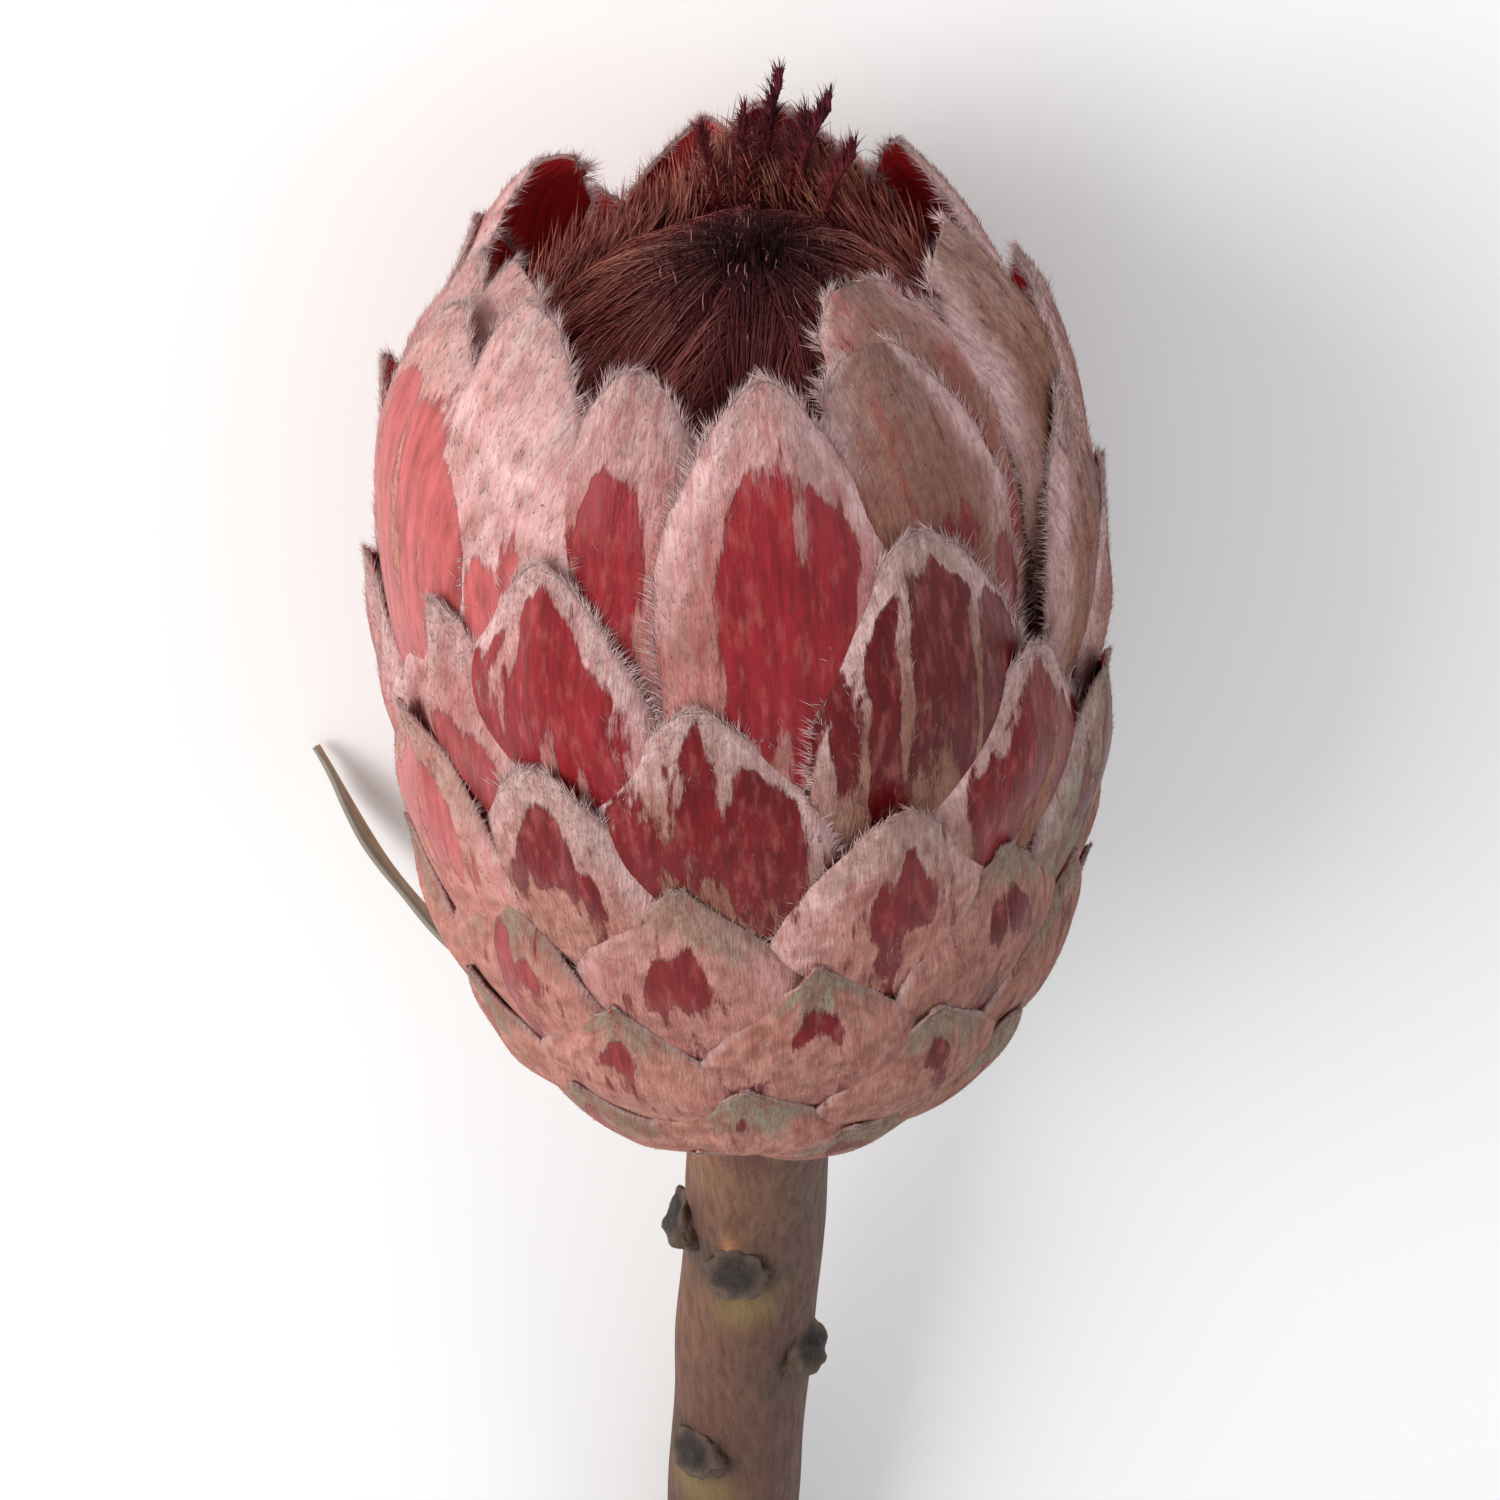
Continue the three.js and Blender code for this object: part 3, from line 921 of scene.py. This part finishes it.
def frames_at(bract, across, along):
    """Places on the face with unit vectors to the right, up the bract and out of it."""
    spot, half, below = sheet(bract, across, along)
    right = sheet(bract, across + NUDGE, along)[0] - spot
    up = spot - sheet(bract, across, along - NUDGE)[0]
    right /= np.linalg.norm(right, axis=1, keepdims=True)
    up /= np.linalg.norm(up, axis=1, keepdims=True)
    out = np.cross(right, up)
    out /= np.linalg.norm(out, axis=1, keepdims=True)
    return spot, half, below, right, up, out


def hairs_of(bract, count, margin):
    """Roots, ends and colours of one bract's hairs, on its margins or on its face."""
    upper = bract["upper"]
    reach = 30 if bract["rank"] <= LAST_LONG_BRACT else 14
    if margin:
        side = np.where(picker.random(count) < 0.5, -1.0, 1.0)
        across = side * (1 - 0.05 * picker.random(count) ** 2)
        below = reach * picker.random(count) ** 1.6
    else:
        across = picker.uniform(-0.98, 0.98, count)
        below = reach * picker.random(count) ** 1.25
        side = np.sign(across)
    spot, half, below, right, up, out = frames_at(bract, across, np.minimum(along_at(bract, below), 0.999))
    if not margin:
        keep = bareness(bract, across, below, half) < picker.uniform(0.15, 0.7, count)
        across, below, side = across[keep], below[keep], side[keep]
        spot, right, up, out = spot[keep], right[keep], up[keep], out[keep]
    number = len(across)
    turned = picker.normal(0, 0.35, (number, 1))
    if margin:
        near_tip = (1 - ease(0, 6, below))[:, None]
        direction = right * (side[:, None] * (0.75 - 0.45 * near_tip) + turned * 0.6)
        direction = direction + up * (0.65 + 0.4 * near_tip) + out * picker.normal(0.1, 0.3, (number, 1))
        length = (0.5 + 1.05 * upper) * picker.uniform(0.4, 1.35, (number, 1))
    else:
        direction = up * 0.9 + right * (turned + 0.3 * across[:, None])
        direction = direction + out * picker.uniform(0.12, 0.5, (number, 1))
        length = (0.45 + 0.5 * upper) * picker.uniform(0.6, 1.3, (number, 1))
    direction /= np.linalg.norm(direction, axis=1, keepdims=True)
    roots = spot - out * 0.06
    ends = roots + direction * length
    base_colour = felt_colours(bract, across, below)
    shade = picker.uniform(0.75, 1.12, (number, 1))
    # The same paleness, partly painted shade on the right side, dims the hairs' pale tips.
    tip_colour = base_colour * 1.15 + (WHITE_FELT - base_colour) * 0.2 * upper * bract["paleness"]
    root_colour = base_colour * 0.85
    if margin:
        tip_colour = base_colour + (WHITE_FELT * 1.3 - base_colour) * (0.3 + 0.7 * upper)
        root_colour = base_colour + (WHITE_FELT - base_colour) * 0.7 * upper
    return roots, ends, root_colour * shade, tip_colour * shade


def comb(name, members, face_count, margin_count, slot, nodes, material):
    """Sets the hairs of several bracts in one piece."""
    found = [hairs_of(bract, face_count, False) for bract in members]
    found += [hairs_of(bract, margin_count, True) for bract in members]
    roots, ends, root_colours, tip_colours = (np.vstack(part) for part in zip(*found))
    middles = (roots + ends) / 2
    widths = picker.uniform(0.04, 0.08, len(roots))
    made = hair_mesh(name, SHORT_HAIR, roots, middles, ends, widths, root_colours, tip_colours)
    made.data.materials.append(material)
    return finish_piece(made, slot, *nodes)


felt_hair = hair_recipe("felt_hair", 0.7, 0.3)
mouth = [b for b in spiral if b["rank"] <= -11]
middle_row = [b for b in spiral if -11 < b["rank"] <= 5]
low_row = [b for b in spiral if 5 < b["rank"] <= LAST_LONG_BRACT]
tight = [b for b in spiral if b["rank"] > LAST_LONG_BRACT]
comb("hair_of_mouth_bracts", mouth, FACE_HAIRS_LONG, MARGIN_HAIRS_LONG, "bract",
     [node_of(b) for b in mouth], felt_hair)
comb("hair_of_middle_bracts", middle_row, FACE_HAIRS_LONG, MARGIN_HAIRS_LONG, "bract",
     [node_of(b) for b in middle_row], felt_hair)
comb("hair_of_low_bracts", low_row, FACE_HAIRS_LOW, MARGIN_HAIRS_LOW, "bract",
     [node_of(b) for b in low_row], felt_hair)
comb("hair_of_scales", tight, FACE_HAIRS_SCALE, MARGIN_HAIRS_SCALE, "base_scale",
     ["receptacle_and_scales"], felt_hair)

# %% [markdown]
# ## The florets
#
# Hundreds of florets stand packed in the cup, and their long silky ends bend over to the middle
# and make a dome. The crown is almost black, with short curls. At the back the florets stand
# higher than the dome against the bracts, and a few tufts look over the rim.
#
# The mass under the hairs is a sphere shaped to the dome. It only has to be dark and furrowed.
# The strands over it are the long hair, copied along curves that follow the dome.

# %% The dark dome
DOME_RADIUS = 18.6
UPPER_PART = 0.6
UP = np.array([0, 0, 1.0])
DOME_TOP = ((DOME_RADIUS, 69.0), (17.5, 75.5), (12.5, 81.5), (6.5, 85.2), (0.0, 86.4))
CROWN_ASIDE = np.array([2.2, -1.2, 0.0])
dome_radii = np.array([p[0] for p in DOME_TOP])[::-1]
dome_heights = np.array([p[1] for p in DOME_TOP])[::-1]
fine_radii = np.linspace(0, DOME_RADIUS, 200)
dome_curve = np.interp(fine_radii, dome_radii, dome_heights)
for _ in range(3):
    dome_curve = np.convolve(np.pad(dome_curve, 8, mode="edge"), np.ones(17) / 17, mode="valid")


def dome_height(radius):
    return np.interp(radius, fine_radii, dome_curve)


def towards_middle(radius):
    """1 on the dome's axis and 0 at its rim."""
    return np.clip(1 - (radius / DOME_RADIUS) ** 2, 0, 1)


def dome_material():
    make = Recipe("floret_mass")
    mottle = make.noise(make.object_place(), 1400.0, 4.0, 0.6)
    outward = make.spread(make.stored("outward"), 0.2, 0.95)
    colour = make.mix(outward, paint(20, 10, 11), paint(160, 66, 62))
    colour = make.mix(make.spread(mottle, 0.4, 0.65), colour, (0.3, 0.25, 0.25), "MULTIPLY")
    make.bump(mottle, 0.0006, 0.9)
    make.set(Base_Color=colour, Roughness=make.spread(mottle, 0.3, 0.7, 0.7, 0.95))
    return make.material


dome, from_top, facing = new_ball("floret_dome", 128, 72)
top_share = np.clip(from_top / UPPER_PART, 0, 1)
low_share = np.clip((from_top - UPPER_PART) / (1 - UPPER_PART), 0, 1)
dome_radius = np.where(low_share > 0, DOME_RADIUS - 10 * low_share**2, DOME_RADIUS * top_share)
dome_z = np.where(low_share > 0, 70 - 45 * low_share, dome_height(DOME_RADIUS * top_share))
dome_radius = np.where(from_top > 0.995, 0, dome_radius)
furrows = ring_noise(facing, 9, dome_radius * 0.12)
dome_z = dome_z - 0.9 + 0.9 * furrows * ease(0, 4, dome_radius)
middle_share = towards_middle(dome_radius) * (from_top < UPPER_PART)
set_coordinates(dome, laid(around(dome_radius, facing, dome_z) + CROWN_ASIDE * middle_share[:, None]))
paint_points(dome.data, "outward", dome_radius / DOME_RADIUS)
dome.data.materials.append(dome_material())
smooth(dome)
finish_piece(dome, "floret", "florets")

# %% Strands over the dome
STRANDS = 5200
BACK_STRANDS = 2300
ROOT_BROWN = paint(226, 154, 134)
ROOT_PINK = paint(220, 104, 102)
DARK_MAROON = paint(102, 26, 34)
NEAR_BLACK = paint(34, 14, 18)
OLIVE_BROWN = paint(170, 118, 84)


def strand_tones(azimuth, contrast, scale, seed):
    """A column of tones, 0 to 1, nearly alike for neighbouring strands, so that they group."""
    scatter = picker.normal(0, 0.2, len(azimuth))
    return np.clip(0.5 + contrast * ring_noise(azimuth, scale, seed) + scatter, 0, 1)[:, None]


azimuth = picker.uniform(-math.pi, math.pi, STRANDS)
grouped = ring_noise(azimuth, 7, 2.0)
start_radius = 5.5 + 14.0 * picker.random(STRANDS) ** 0.75
length = picker.uniform(4.0, 9.0, STRANDS)
end_radius = np.clip(start_radius - length, 1.2, 30)
swirl = 0.5 * ring_noise(azimuth, 3, 9.0) + picker.normal(0, 0.07, STRANDS)
lift = 0.5 + 0.9 * picker.random(STRANDS) + 1.1 * grouped


def on_dome(radius, turned, raised):
    aside = CROWN_ASIDE * towards_middle(radius)[:, None]
    return around(radius, turned, dome_height(radius) + raised) + aside


strand_roots = on_dome(start_radius, azimuth, np.full(STRANDS, -0.7))
strand_ends = on_dome(end_radius, azimuth + swirl, lift * 0.6)
strand_middles = on_dome((start_radius + end_radius) / 2, azimuth + swirl * 0.35, lift + 0.9)
front = np.exp(-((azimuth / 0.75) ** 2))
outwards = (ease(5, 13, start_radius) * (1 - 0.75 * front))[:, None]
tone = strand_tones(azimuth, 1.3, 16, 4.0)
brown = ROOT_PINK + (ROOT_BROWN - ROOT_PINK) * tone
root_tone = DARK_MAROON + (brown - DARK_MAROON) * outwards * (0.35 + 0.65 * tone)
inwards = (ease(3.5, 10, end_radius) * (1 - 0.75 * front))[:, None]
tip_tone = NEAR_BLACK + (DARK_MAROON * 1.1 - NEAR_BLACK) * inwards
tip_tone = tip_tone + (brown * 0.8 - tip_tone) * inwards * tone * 0.75
strands = hair_mesh(
    "floret_strands", LONG_HAIR, strand_roots, strand_middles, strand_ends,
    picker.uniform(0.16, 0.36, STRANDS), root_tone, tip_tone,
)
silk = hair_recipe("floret_silk", 0.58, 0.0)
strands.data.materials.append(silk)
finish_piece(strands, "floret", "florets")

# %% Standing florets at the back, and the tufts
back_azimuth = picker.normal(math.pi, 0.95, BACK_STRANDS)
back_radius = picker.uniform(14.5, DOME_RADIUS, BACK_STRANDS)
back_share = np.clip(np.cos(back_azimuth - math.pi), 0, 1)
rise = (4 + 9.5 * back_share) * picker.uniform(0.6, 1.0, BACK_STRANDS)
rise = rise * (1 - 0.35 * ease(math.pi - 0.1, math.pi + 0.3, back_azimuth))
back_roots = around(back_radius, back_azimuth, np.full(BACK_STRANDS, 70.0))
leaning = picker.uniform(0.5, 5.0, BACK_STRANDS)
back_ends = around(back_radius - leaning, back_azimuth + picker.normal(0, 0.06, BACK_STRANDS), 77 + rise)
back_middles = around(back_radius + 0.6, back_azimuth, 73 + rise * 0.75)
back_tone = strand_tones(back_azimuth, 1.4, 14, 6.0)
olive = ease(2.2, 2.7, back_azimuth)[:, None] * (1 - ease(2.7, 3.3, back_azimuth))[:, None]
back_colour = DARK_MAROON * 1.5 + (ROOT_BROWN - DARK_MAROON) * back_tone
back_colour = back_colour + (OLIVE_BROWN - back_colour) * olive * 0.7 * back_tone
back_tips = back_colour * 0.7 + DARK_MAROON * 0.2

# azimuth in degrees, radius and height of the tuft's top, lean to the right, width
TUFTS = ((163, 11.0, 95.2, 0.16, 2.0), (151, 10.5, 94.4, 0.32, 1.6), (171, 11.0, 91.6, 0.05, 2.4),
         (157, 11.5, 92.0, 0.22, 2.4), (144, 11.5, 90.6, 0.35, 2.2), (179, 11.5, 90.0, -0.1, 2.6))
TUFT_HAIRS = 420
TUFT_LENGTH = 13
tuft_parts = []
for degrees, radius, top, lean, width in TUFTS:
    turned = math.radians(degrees)
    sideways = np.array([math.cos(turned), math.sin(turned), 0]) * np.sign(math.cos(turned))
    outside = np.array([math.sin(turned), -math.cos(turned), 0])
    share = picker.random((TUFT_HAIRS, 1)) ** 0.8
    spine = outside * (radius + 4 * (1 - share) ** 2) + UP * (top - TUFT_LENGTH)
    spine = spine + UP * TUFT_LENGTH * share + sideways * lean * TUFT_LENGTH * share**2
    barb = picker.normal(0, 0.5, (TUFT_HAIRS, 1)) * width * (1.6 - 1.25 * share)
    away = picker.normal(0, 0.4, (TUFT_HAIRS, 1)) * width * (1.6 - 1.25 * share)
    ends = spine + sideways * barb + outside * away
    ends = ends + UP * picker.uniform(0.5, 2.2, (TUFT_HAIRS, 1))
    middles = spine + UP * 0.7 + sideways * barb * 0.25
    tuft_parts.append((spine - UP * 0.8, middles, ends))
tuft_roots, tuft_middles, tuft_ends = (np.vstack(part) for part in zip(*tuft_parts))
tuft_tone = picker.random((len(tuft_roots), 1))
tuft_colour = NEAR_BLACK + (paint(124, 44, 56) - NEAR_BLACK) * tuft_tone

tuft_low = 1 - ease(82, 91, tuft_roots[:, 2])[:, None]
tuft_roots_colour = tuft_colour + (ROOT_PINK * 0.55 - tuft_colour) * tuft_low
standing = hair_mesh(
    "floret_back", LONG_HAIR,
    np.vstack([back_roots, tuft_roots]), np.vstack([back_middles, tuft_middles]),
    np.vstack([back_ends, tuft_ends]),
    np.concatenate([picker.uniform(0.35, 0.75, BACK_STRANDS), picker.uniform(0.16, 0.34, len(tuft_roots))]),
    np.vstack([back_colour, tuft_roots_colour]), np.vstack([back_tips, tuft_colour]),
)
standing.data.materials.append(silk)
finish_piece(standing, "floret", "florets")

# %% Curls on the crown
CURLS = 5600
curl_radius = 9.0 * picker.random(CURLS) ** 0.65
curl_azimuth = picker.uniform(-math.pi, math.pi, CURLS)
curl_roots = on_dome(curl_radius, curl_azimuth, np.full(CURLS, -0.4))
curl_wander = picker.normal(0, 1.0, (CURLS, 3)) * np.array([0.8, 0.8, 0.25])
curl_height = picker.uniform(0.9, 3.2, (CURLS, 1)) * (1.15 - 0.085 * curl_radius[:, None])
curl_middles = curl_roots + curl_wander * 0.9 + UP * curl_height * 0.9
curl_scatter = picker.normal(0, 0.5, (CURLS, 3)) * 0.6
curl_ends = curl_roots + curl_wander * 0.35 + curl_scatter + UP * curl_height
curl_tone = np.clip(picker.random((CURLS, 1)) ** 3 * 0.5 + ease(3, 9, curl_radius)[:, None] * 0.45, 0, 1)
curl_colour = NEAR_BLACK * 0.6 + (paint(120, 40, 52) - NEAR_BLACK) * curl_tone
specks = picker.random(CURLS) < 0.02
curl_colour[specks] = paint(206, 150, 146)
curls = hair_mesh(
    "floret_crown", LONG_HAIR, curl_roots, curl_middles, curl_ends,
    picker.uniform(0.10, 0.22, CURLS), curl_colour, curl_colour * 1.2,
)
curls.data.materials.append(silk)
finish_piece(curls, "floret", "florets")

# %% [markdown]
# ## The stem
#
# The stem is a woody stalk, a little crooked, with a knob wherever a leaf was pulled off. It is
# shaped from a sphere, because a sphere is closed already: its rings become the rings of the
# stalk, its top pole disappears in the head and its bottom pole is the middle of the cut end.

# %% Bark
STEM_LENGTH = 150
STEM_RADIUS = 6.9
STEM_END_RADIUS = 7.3
STEM_LEAN = 0.09
STEM_BOW = 3
STEM_FLARE = 0.1
STEM_FLARE_LENGTH = 8
CAP_SHARE = 0.05

stem, share, stem_facing = new_ball("stem_bark", 72, 190)
down = STEM_LENGTH * np.clip((share - CAP_SHARE) / (1 - 2 * CAP_SHARE), 0, 1)
cap = np.clip(np.minimum(share, 1 - share) / CAP_SHARE, 0, 1)


def stem_middle(down):
    return np.column_stack([-STEM_LEAN * down, STEM_BOW * np.sin(math.pi * down / STEM_LENGTH), -down])


def stem_radius(down):
    grown = (STEM_END_RADIUS - STEM_RADIUS) * down / STEM_LENGTH
    return STEM_RADIUS + STEM_FLARE * np.exp(-down / STEM_FLARE_LENGTH) + grown


lumps = ring_noise(stem_facing, 1.2, down * 0.055)
ribs = ring_noise(stem_facing, 4.5, down * 0.03)
bark_radius = (stem_radius(down) - 0.1 + 0.5 * lumps + 0.3 * ribs) * np.where(cap < 1, cap**0.6, 1)
sunk = np.where(share > 0.5, (1 - cap) * 0.3, 0)
stem_points = stem_middle(down) + around(bark_radius, stem_facing, sunk)
set_coordinates(stem, laid(stem_points))
paint_points(stem.data, "down", down / STEM_LENGTH)
# Painted shade: the bark is painted darker towards the right of the stem, the side away from the window
# light.
paint_points(stem.data, "shade_to_right", np.sin(stem_facing) * 0.5 + 0.5)
paint_points(stem.data, "cut", np.where((share > 0.5) & (cap < 0.98), 1.0, 0.0))
paint_points(stem.data, "pith", cap)

# height, azimuth in degrees
LEAF_SCARS = ((-26, -88), (-27, -15), (-44, 58), (-59, -40), (-82, 150), (-104, 70), (-128, -60))


def stain(height, degrees, tall, wide):
    """A soft patch on the stem's skin."""
    off_height = (-down - height) / tall
    off_side = ((stem_facing - math.radians(degrees) + math.pi) % (2 * math.pi) - math.pi) * 6.6 / wide
    return np.exp(-(off_height**2) - off_side**2)


dark_patches = sum(stain(h - 0.5, a, 4.2, 4.4) for h, a in LEAF_SCARS)
yellow_patches = stain(-31.5, -8, 3.6, 3.0) + 0.8 * stain(-65, -38, 3.5, 4.0) + 0.5 * stain(-110, 60, 4, 4)
orange_patches = stain(-23.8, -24, 2.0, 0.7)
paint_points(stem.data, "dark_patch", np.clip(dark_patches, 0, 1))
paint_points(stem.data, "yellow_patch", np.clip(yellow_patches, 0, 1))
paint_points(stem.data, "orange_patch", np.clip(orange_patches, 0, 1))


def bark_material():
    make = Recipe("bark")
    fibres = make.noise(make.scaled(make.object_place(), (1.0, 0.16, 1.0)), 1500.0, 4.0, 0.6)
    broad = make.noise(make.object_place(), 130.0, 3.0, 0.55)
    fine = make.noise(make.object_place(), 2600.0, 2.0, 0.5)
    # Painted shade: the bark turns darker towards the right of the stem, away from the window.
    shade_to_right = make.spread(make.stored("shade_to_right"), 0.1, 0.8)
    colour = make.mix(shade_to_right, paint(138, 92, 62), paint(104, 78, 62))
    colour = make.mix(make.spread(make.stored("down"), 0.0, 0.5), colour, paint(92, 56, 46))
    colour = make.mix(make.spread(broad, 0.5, 0.7, 0.0, 0.8), colour, paint(96, 52, 46))
    colour = make.mix(make.spread(fibres, 0.35, 0.65, 0.0, 0.55), colour, paint(60, 38, 30))
    for patch, strength, tone in (
        ("yellow_patch", 0.75, paint(140, 118, 62)),
        ("orange_patch", 0.9, paint(196, 132, 84)),
        ("dark_patch", 0.85, paint(48, 40, 36)),
    ):
        colour = make.mix(make.sum("MULTIPLY", make.stored(patch), strength), colour, tone)
    wood = make.mix(
        make.spread(make.stored("pith"), 0.15, 0.8), paint(176, 150, 108), paint(132, 112, 76)
    )
    wood = make.mix(make.spread(fine, 0.4, 0.6, 0.0, 0.35), wood, paint(96, 74, 50))
    colour = make.mix(make.stored("cut"), colour, wood)
    make.bump(make.sum("MULTIPLY_ADD", fibres, 0.8, fine), 0.00028, 0.8)
    make.set(Base_Color=colour, Roughness=make.spread(fibres, 0.3, 0.7, 0.62, 0.85))
    return make.material


bark = bark_material()
stem.data.materials.append(bark)
smooth(stem)
finish_piece(stem, "bark", "stem")

# %% [markdown]
# A knob is what is left of a leaf's foot: a dark lump with a rim and a sunken scar that faces
# out and up. One is shaped from a sphere and copied to its places.

# %% Knobs
knob = new_ball("knob", 40, 28)[0]
ball = coordinates(knob)
LIP_RISE = 0.1
scar_towards = np.array([0.0, 0.86, 0.5])
facing_scar = ball @ scar_towards
dent = ease(0.55, 0.95, facing_scar) * 0.2
lip = np.exp(-(((facing_scar - 0.6) / 0.14) ** 2))
knob_shape = ball * (1 - dent + lip * LIP_RISE)[:, None]

knobs = []
for number, (height, degrees) in enumerate(LEAF_SCARS):
    turned = math.radians(degrees)
    rough = np.array([noise.noise(Vector(p * 2.2 + UP * number * 9)) for p in ball])
    local = knob_shape * (1 + 0.3 * rough)[:, None]
    side = np.array([math.cos(turned), math.sin(turned), 0])
    out = np.array([math.sin(turned), -math.cos(turned), 0])
    middle = stem_middle(np.array([-height]))[0] + out * (stem_radius(-height) - 0.5)
    points = middle + local[:, :1] * 3.1 * side + local[:, 1:2] * 2.3 * out + local[:, 2:] * 3.2 * UP
    made = new_object(f"knob_{number}", knob.data.copy())
    set_coordinates(made, laid(points))
    paint_points(made.data, "scar", ease(0.55, 0.85, facing_scar))
    paint_points(made.data, "lip", lip)
    knobs.append(made)
bpy.data.objects.remove(knob)


def scar_material():
    make = Recipe("leaf_scar")
    mottle = make.noise(make.object_place(), 1800.0, 4.0, 0.6)
    colour = make.mix(make.spread(mottle, 0.35, 0.65), paint(50, 37, 29), paint(92, 68, 52))
    rim = make.sum("MULTIPLY", make.stored("lip"), 0.35)
    colour = make.mix(rim, colour, paint(112, 94, 82))
    colour = make.mix(make.stored("scar"), colour, paint(40, 29, 25))
    make.bump(mottle, 0.0004, 0.9)
    make.set(Base_Color=colour, Roughness=make.spread(mottle, 0.3, 0.7, 0.6, 0.9))
    return make.material


leaf_scars = join(knobs, "leaf_scars")
leaf_scars.data.materials.append(scar_material())
smooth(leaf_scars)
finish_piece(leaf_scars, "bark", "stem")

# %% [markdown]
# ## The leaf
#
# One narrow leaf is left. It grows from the stem just under the head, and stands on edge beside
# it. It is a flat grid, laid along a curve, dished along its midrib and given a thickness.

# %% Leaf
LEAF_PATH = ((-6.6, 4.6, -6), (-15.5, 9.5, -7), (-26, 15.5, -4.5), (-35, 21.5, 3.5), (-41.5, 27.2, 16))
LEAF_HALF_WIDTH = 3.8
LEAF_END_SHARE = 0.3
LEAF_EDGE_TILT = math.radians(40)
LEAF_THICKNESS = 0.55


def curve_through(knots, t):
    """A smooth curve through all the points, for t from 0 to 1."""
    knots = np.array(knots, dtype=float)
    padded = np.vstack([2 * knots[0] - knots[1], knots, 2 * knots[-1] - knots[-2]])
    scaled = np.clip(t, 0, 1) * (len(knots) - 1)
    piece = np.minimum(scaled.astype(int), len(knots) - 2)
    u = (scaled - piece)[:, None]
    a, b, c, d = (padded[piece + k] for k in range(4))
    return 0.5 * (2 * b + (c - a) * u + (2 * a - 5 * b + 4 * c - d) * u**2 + (3 * b - a - 3 * c + d) * u**3)


bpy.ops.object.select_all(action="DESELECT")
bpy.ops.mesh.primitive_grid_add(x_subdivisions=14, y_subdivisions=70, size=2, location=(0, 0, 0))
leaf = bpy.context.object
leaf.name = "leaf_blade"
leaf_across = coordinates(leaf)[:, 0]
leaf_along = (coordinates(leaf)[:, 1] + 1) / 2
midrib = curve_through(LEAF_PATH, leaf_along)
ahead = curve_through(LEAF_PATH, leaf_along + 0.01) - curve_through(LEAF_PATH, leaf_along - 0.01)
ahead /= np.linalg.norm(ahead, axis=1, keepdims=True)
widthwards = np.tile([0, -math.cos(LEAF_EDGE_TILT), math.sin(LEAF_EDGE_TILT)], (len(midrib), 1))
outwards_of_leaf = np.cross(widthwards, ahead)
outwards_of_leaf /= np.linalg.norm(outwards_of_leaf, axis=1, keepdims=True)
leaf_swell = np.sin(math.pi * leaf_along**0.75) ** 0.7
leaf_half = LEAF_HALF_WIDTH * (LEAF_END_SHARE + (1 - LEAF_END_SHARE) * leaf_swell)
leaf_half = leaf_half * (1 - 0.75 * ease(0.9, 1.0, leaf_along))
waves = grain(leaf_along * 9, np.sign(leaf_across) * 3, 2.0)
dish = 0.45 * (leaf_across**2 - 0.4) + 0.35 * waves * np.abs(leaf_across) ** 2
leaf_points = midrib + widthwards * (leaf_across * leaf_half)[:, None] + outwards_of_leaf * dish[:, None]
set_coordinates(leaf, laid(leaf_points))
paint_points(leaf.data, "margin", np.abs(leaf_across))
store_sheet(leaf.data, [leaf_across * leaf_half, leaf_along * 60, leaf_along * 0])
thicken = leaf.modifiers.new("leather", "SOLIDIFY")
thicken.thickness = LEAF_THICKNESS * MM
thicken.offset = 0
apply_all(leaf)


def leaf_material():
    make = Recipe("leaf_skin")
    place = make.stored("sheet", "Vector")
    veins = make.noise(make.scaled(place, (2.4, 0.12, 1.0)), 1.0, 3.0, 0.5)
    spots = make.noise(make.scaled(place, (0.6, 0.4, 1.0)), 1.0, 4.0, 0.6)
    colour = make.mix(make.spread(veins, 0.35, 0.65), paint(188, 152, 118), paint(150, 122, 90))
    colour = make.mix(make.spread(spots, 0.5, 0.72, 0.0, 0.7), colour, paint(136, 104, 74))
    margin = make.spread(make.stored("margin"), 0.55, 0.95)
    colour = make.mix(margin, colour, paint(134, 126, 114))
    make.bump(make.sum("MULTIPLY_ADD", veins, 1.5, spots), 0.0003, 0.8)
    make.set(Base_Color=colour, Roughness=make.spread(spots, 0.3, 0.7, 0.5, 0.7))
    return make.material


leaf.data.materials.append(leaf_material())
smooth(leaf)
finish_piece(leaf, "leaf", "leaf")

# %% [markdown]
# ## The core
#
# Under the head the scales stand on a woody core, which shows as a narrow ring round the top of
# the stem. Again a sphere is shaped to it, so that it is closed.

# %% Core
core, from_top, core_facing = new_ball("woody_core", 96, 48)
share = 1 - from_top
CORE_OUTLINE = ((0, 0.2), (6.6, 0.2), (7.8, 1.0), (8.6, 4.5), (9, 12), (8, 22), (5, 31), (0, 36))
core_line = curve_through([(r, h, 0) for r, h in CORE_OUTLINE], share)
core_radius = np.maximum(core_line[:, 0], 0)
core_radius = np.where((share < 0.001) | (share > 0.999), 0, core_radius)
set_coordinates(core, laid(around(core_radius, core_facing, core_line[:, 1])))
core.data.materials.append(bark)
# The core takes a middle value of the bark's painted side shade, the same all round.
for name in ("down", "shade_to_right", "cut", "pith", "dark_patch", "yellow_patch", "orange_patch"):
    paint_points(core.data, name, np.full(len(share), 0.5 if name == "shade_to_right" else 0.0))
smooth(core)
finish_piece(core, "base_scale", "receptacle_and_scales")

# %% Count the triangles and finish
bpy.data.objects.remove(blade)
triangles = 0
for thing in bpy.context.scene.objects:
    if thing.type == "MESH" and not thing.hide_render and thing.name != "floor":
        triangles += sum(len(face.vertices) - 2 for face in thing.data.polygons)
print("triangles on show:", triangles)
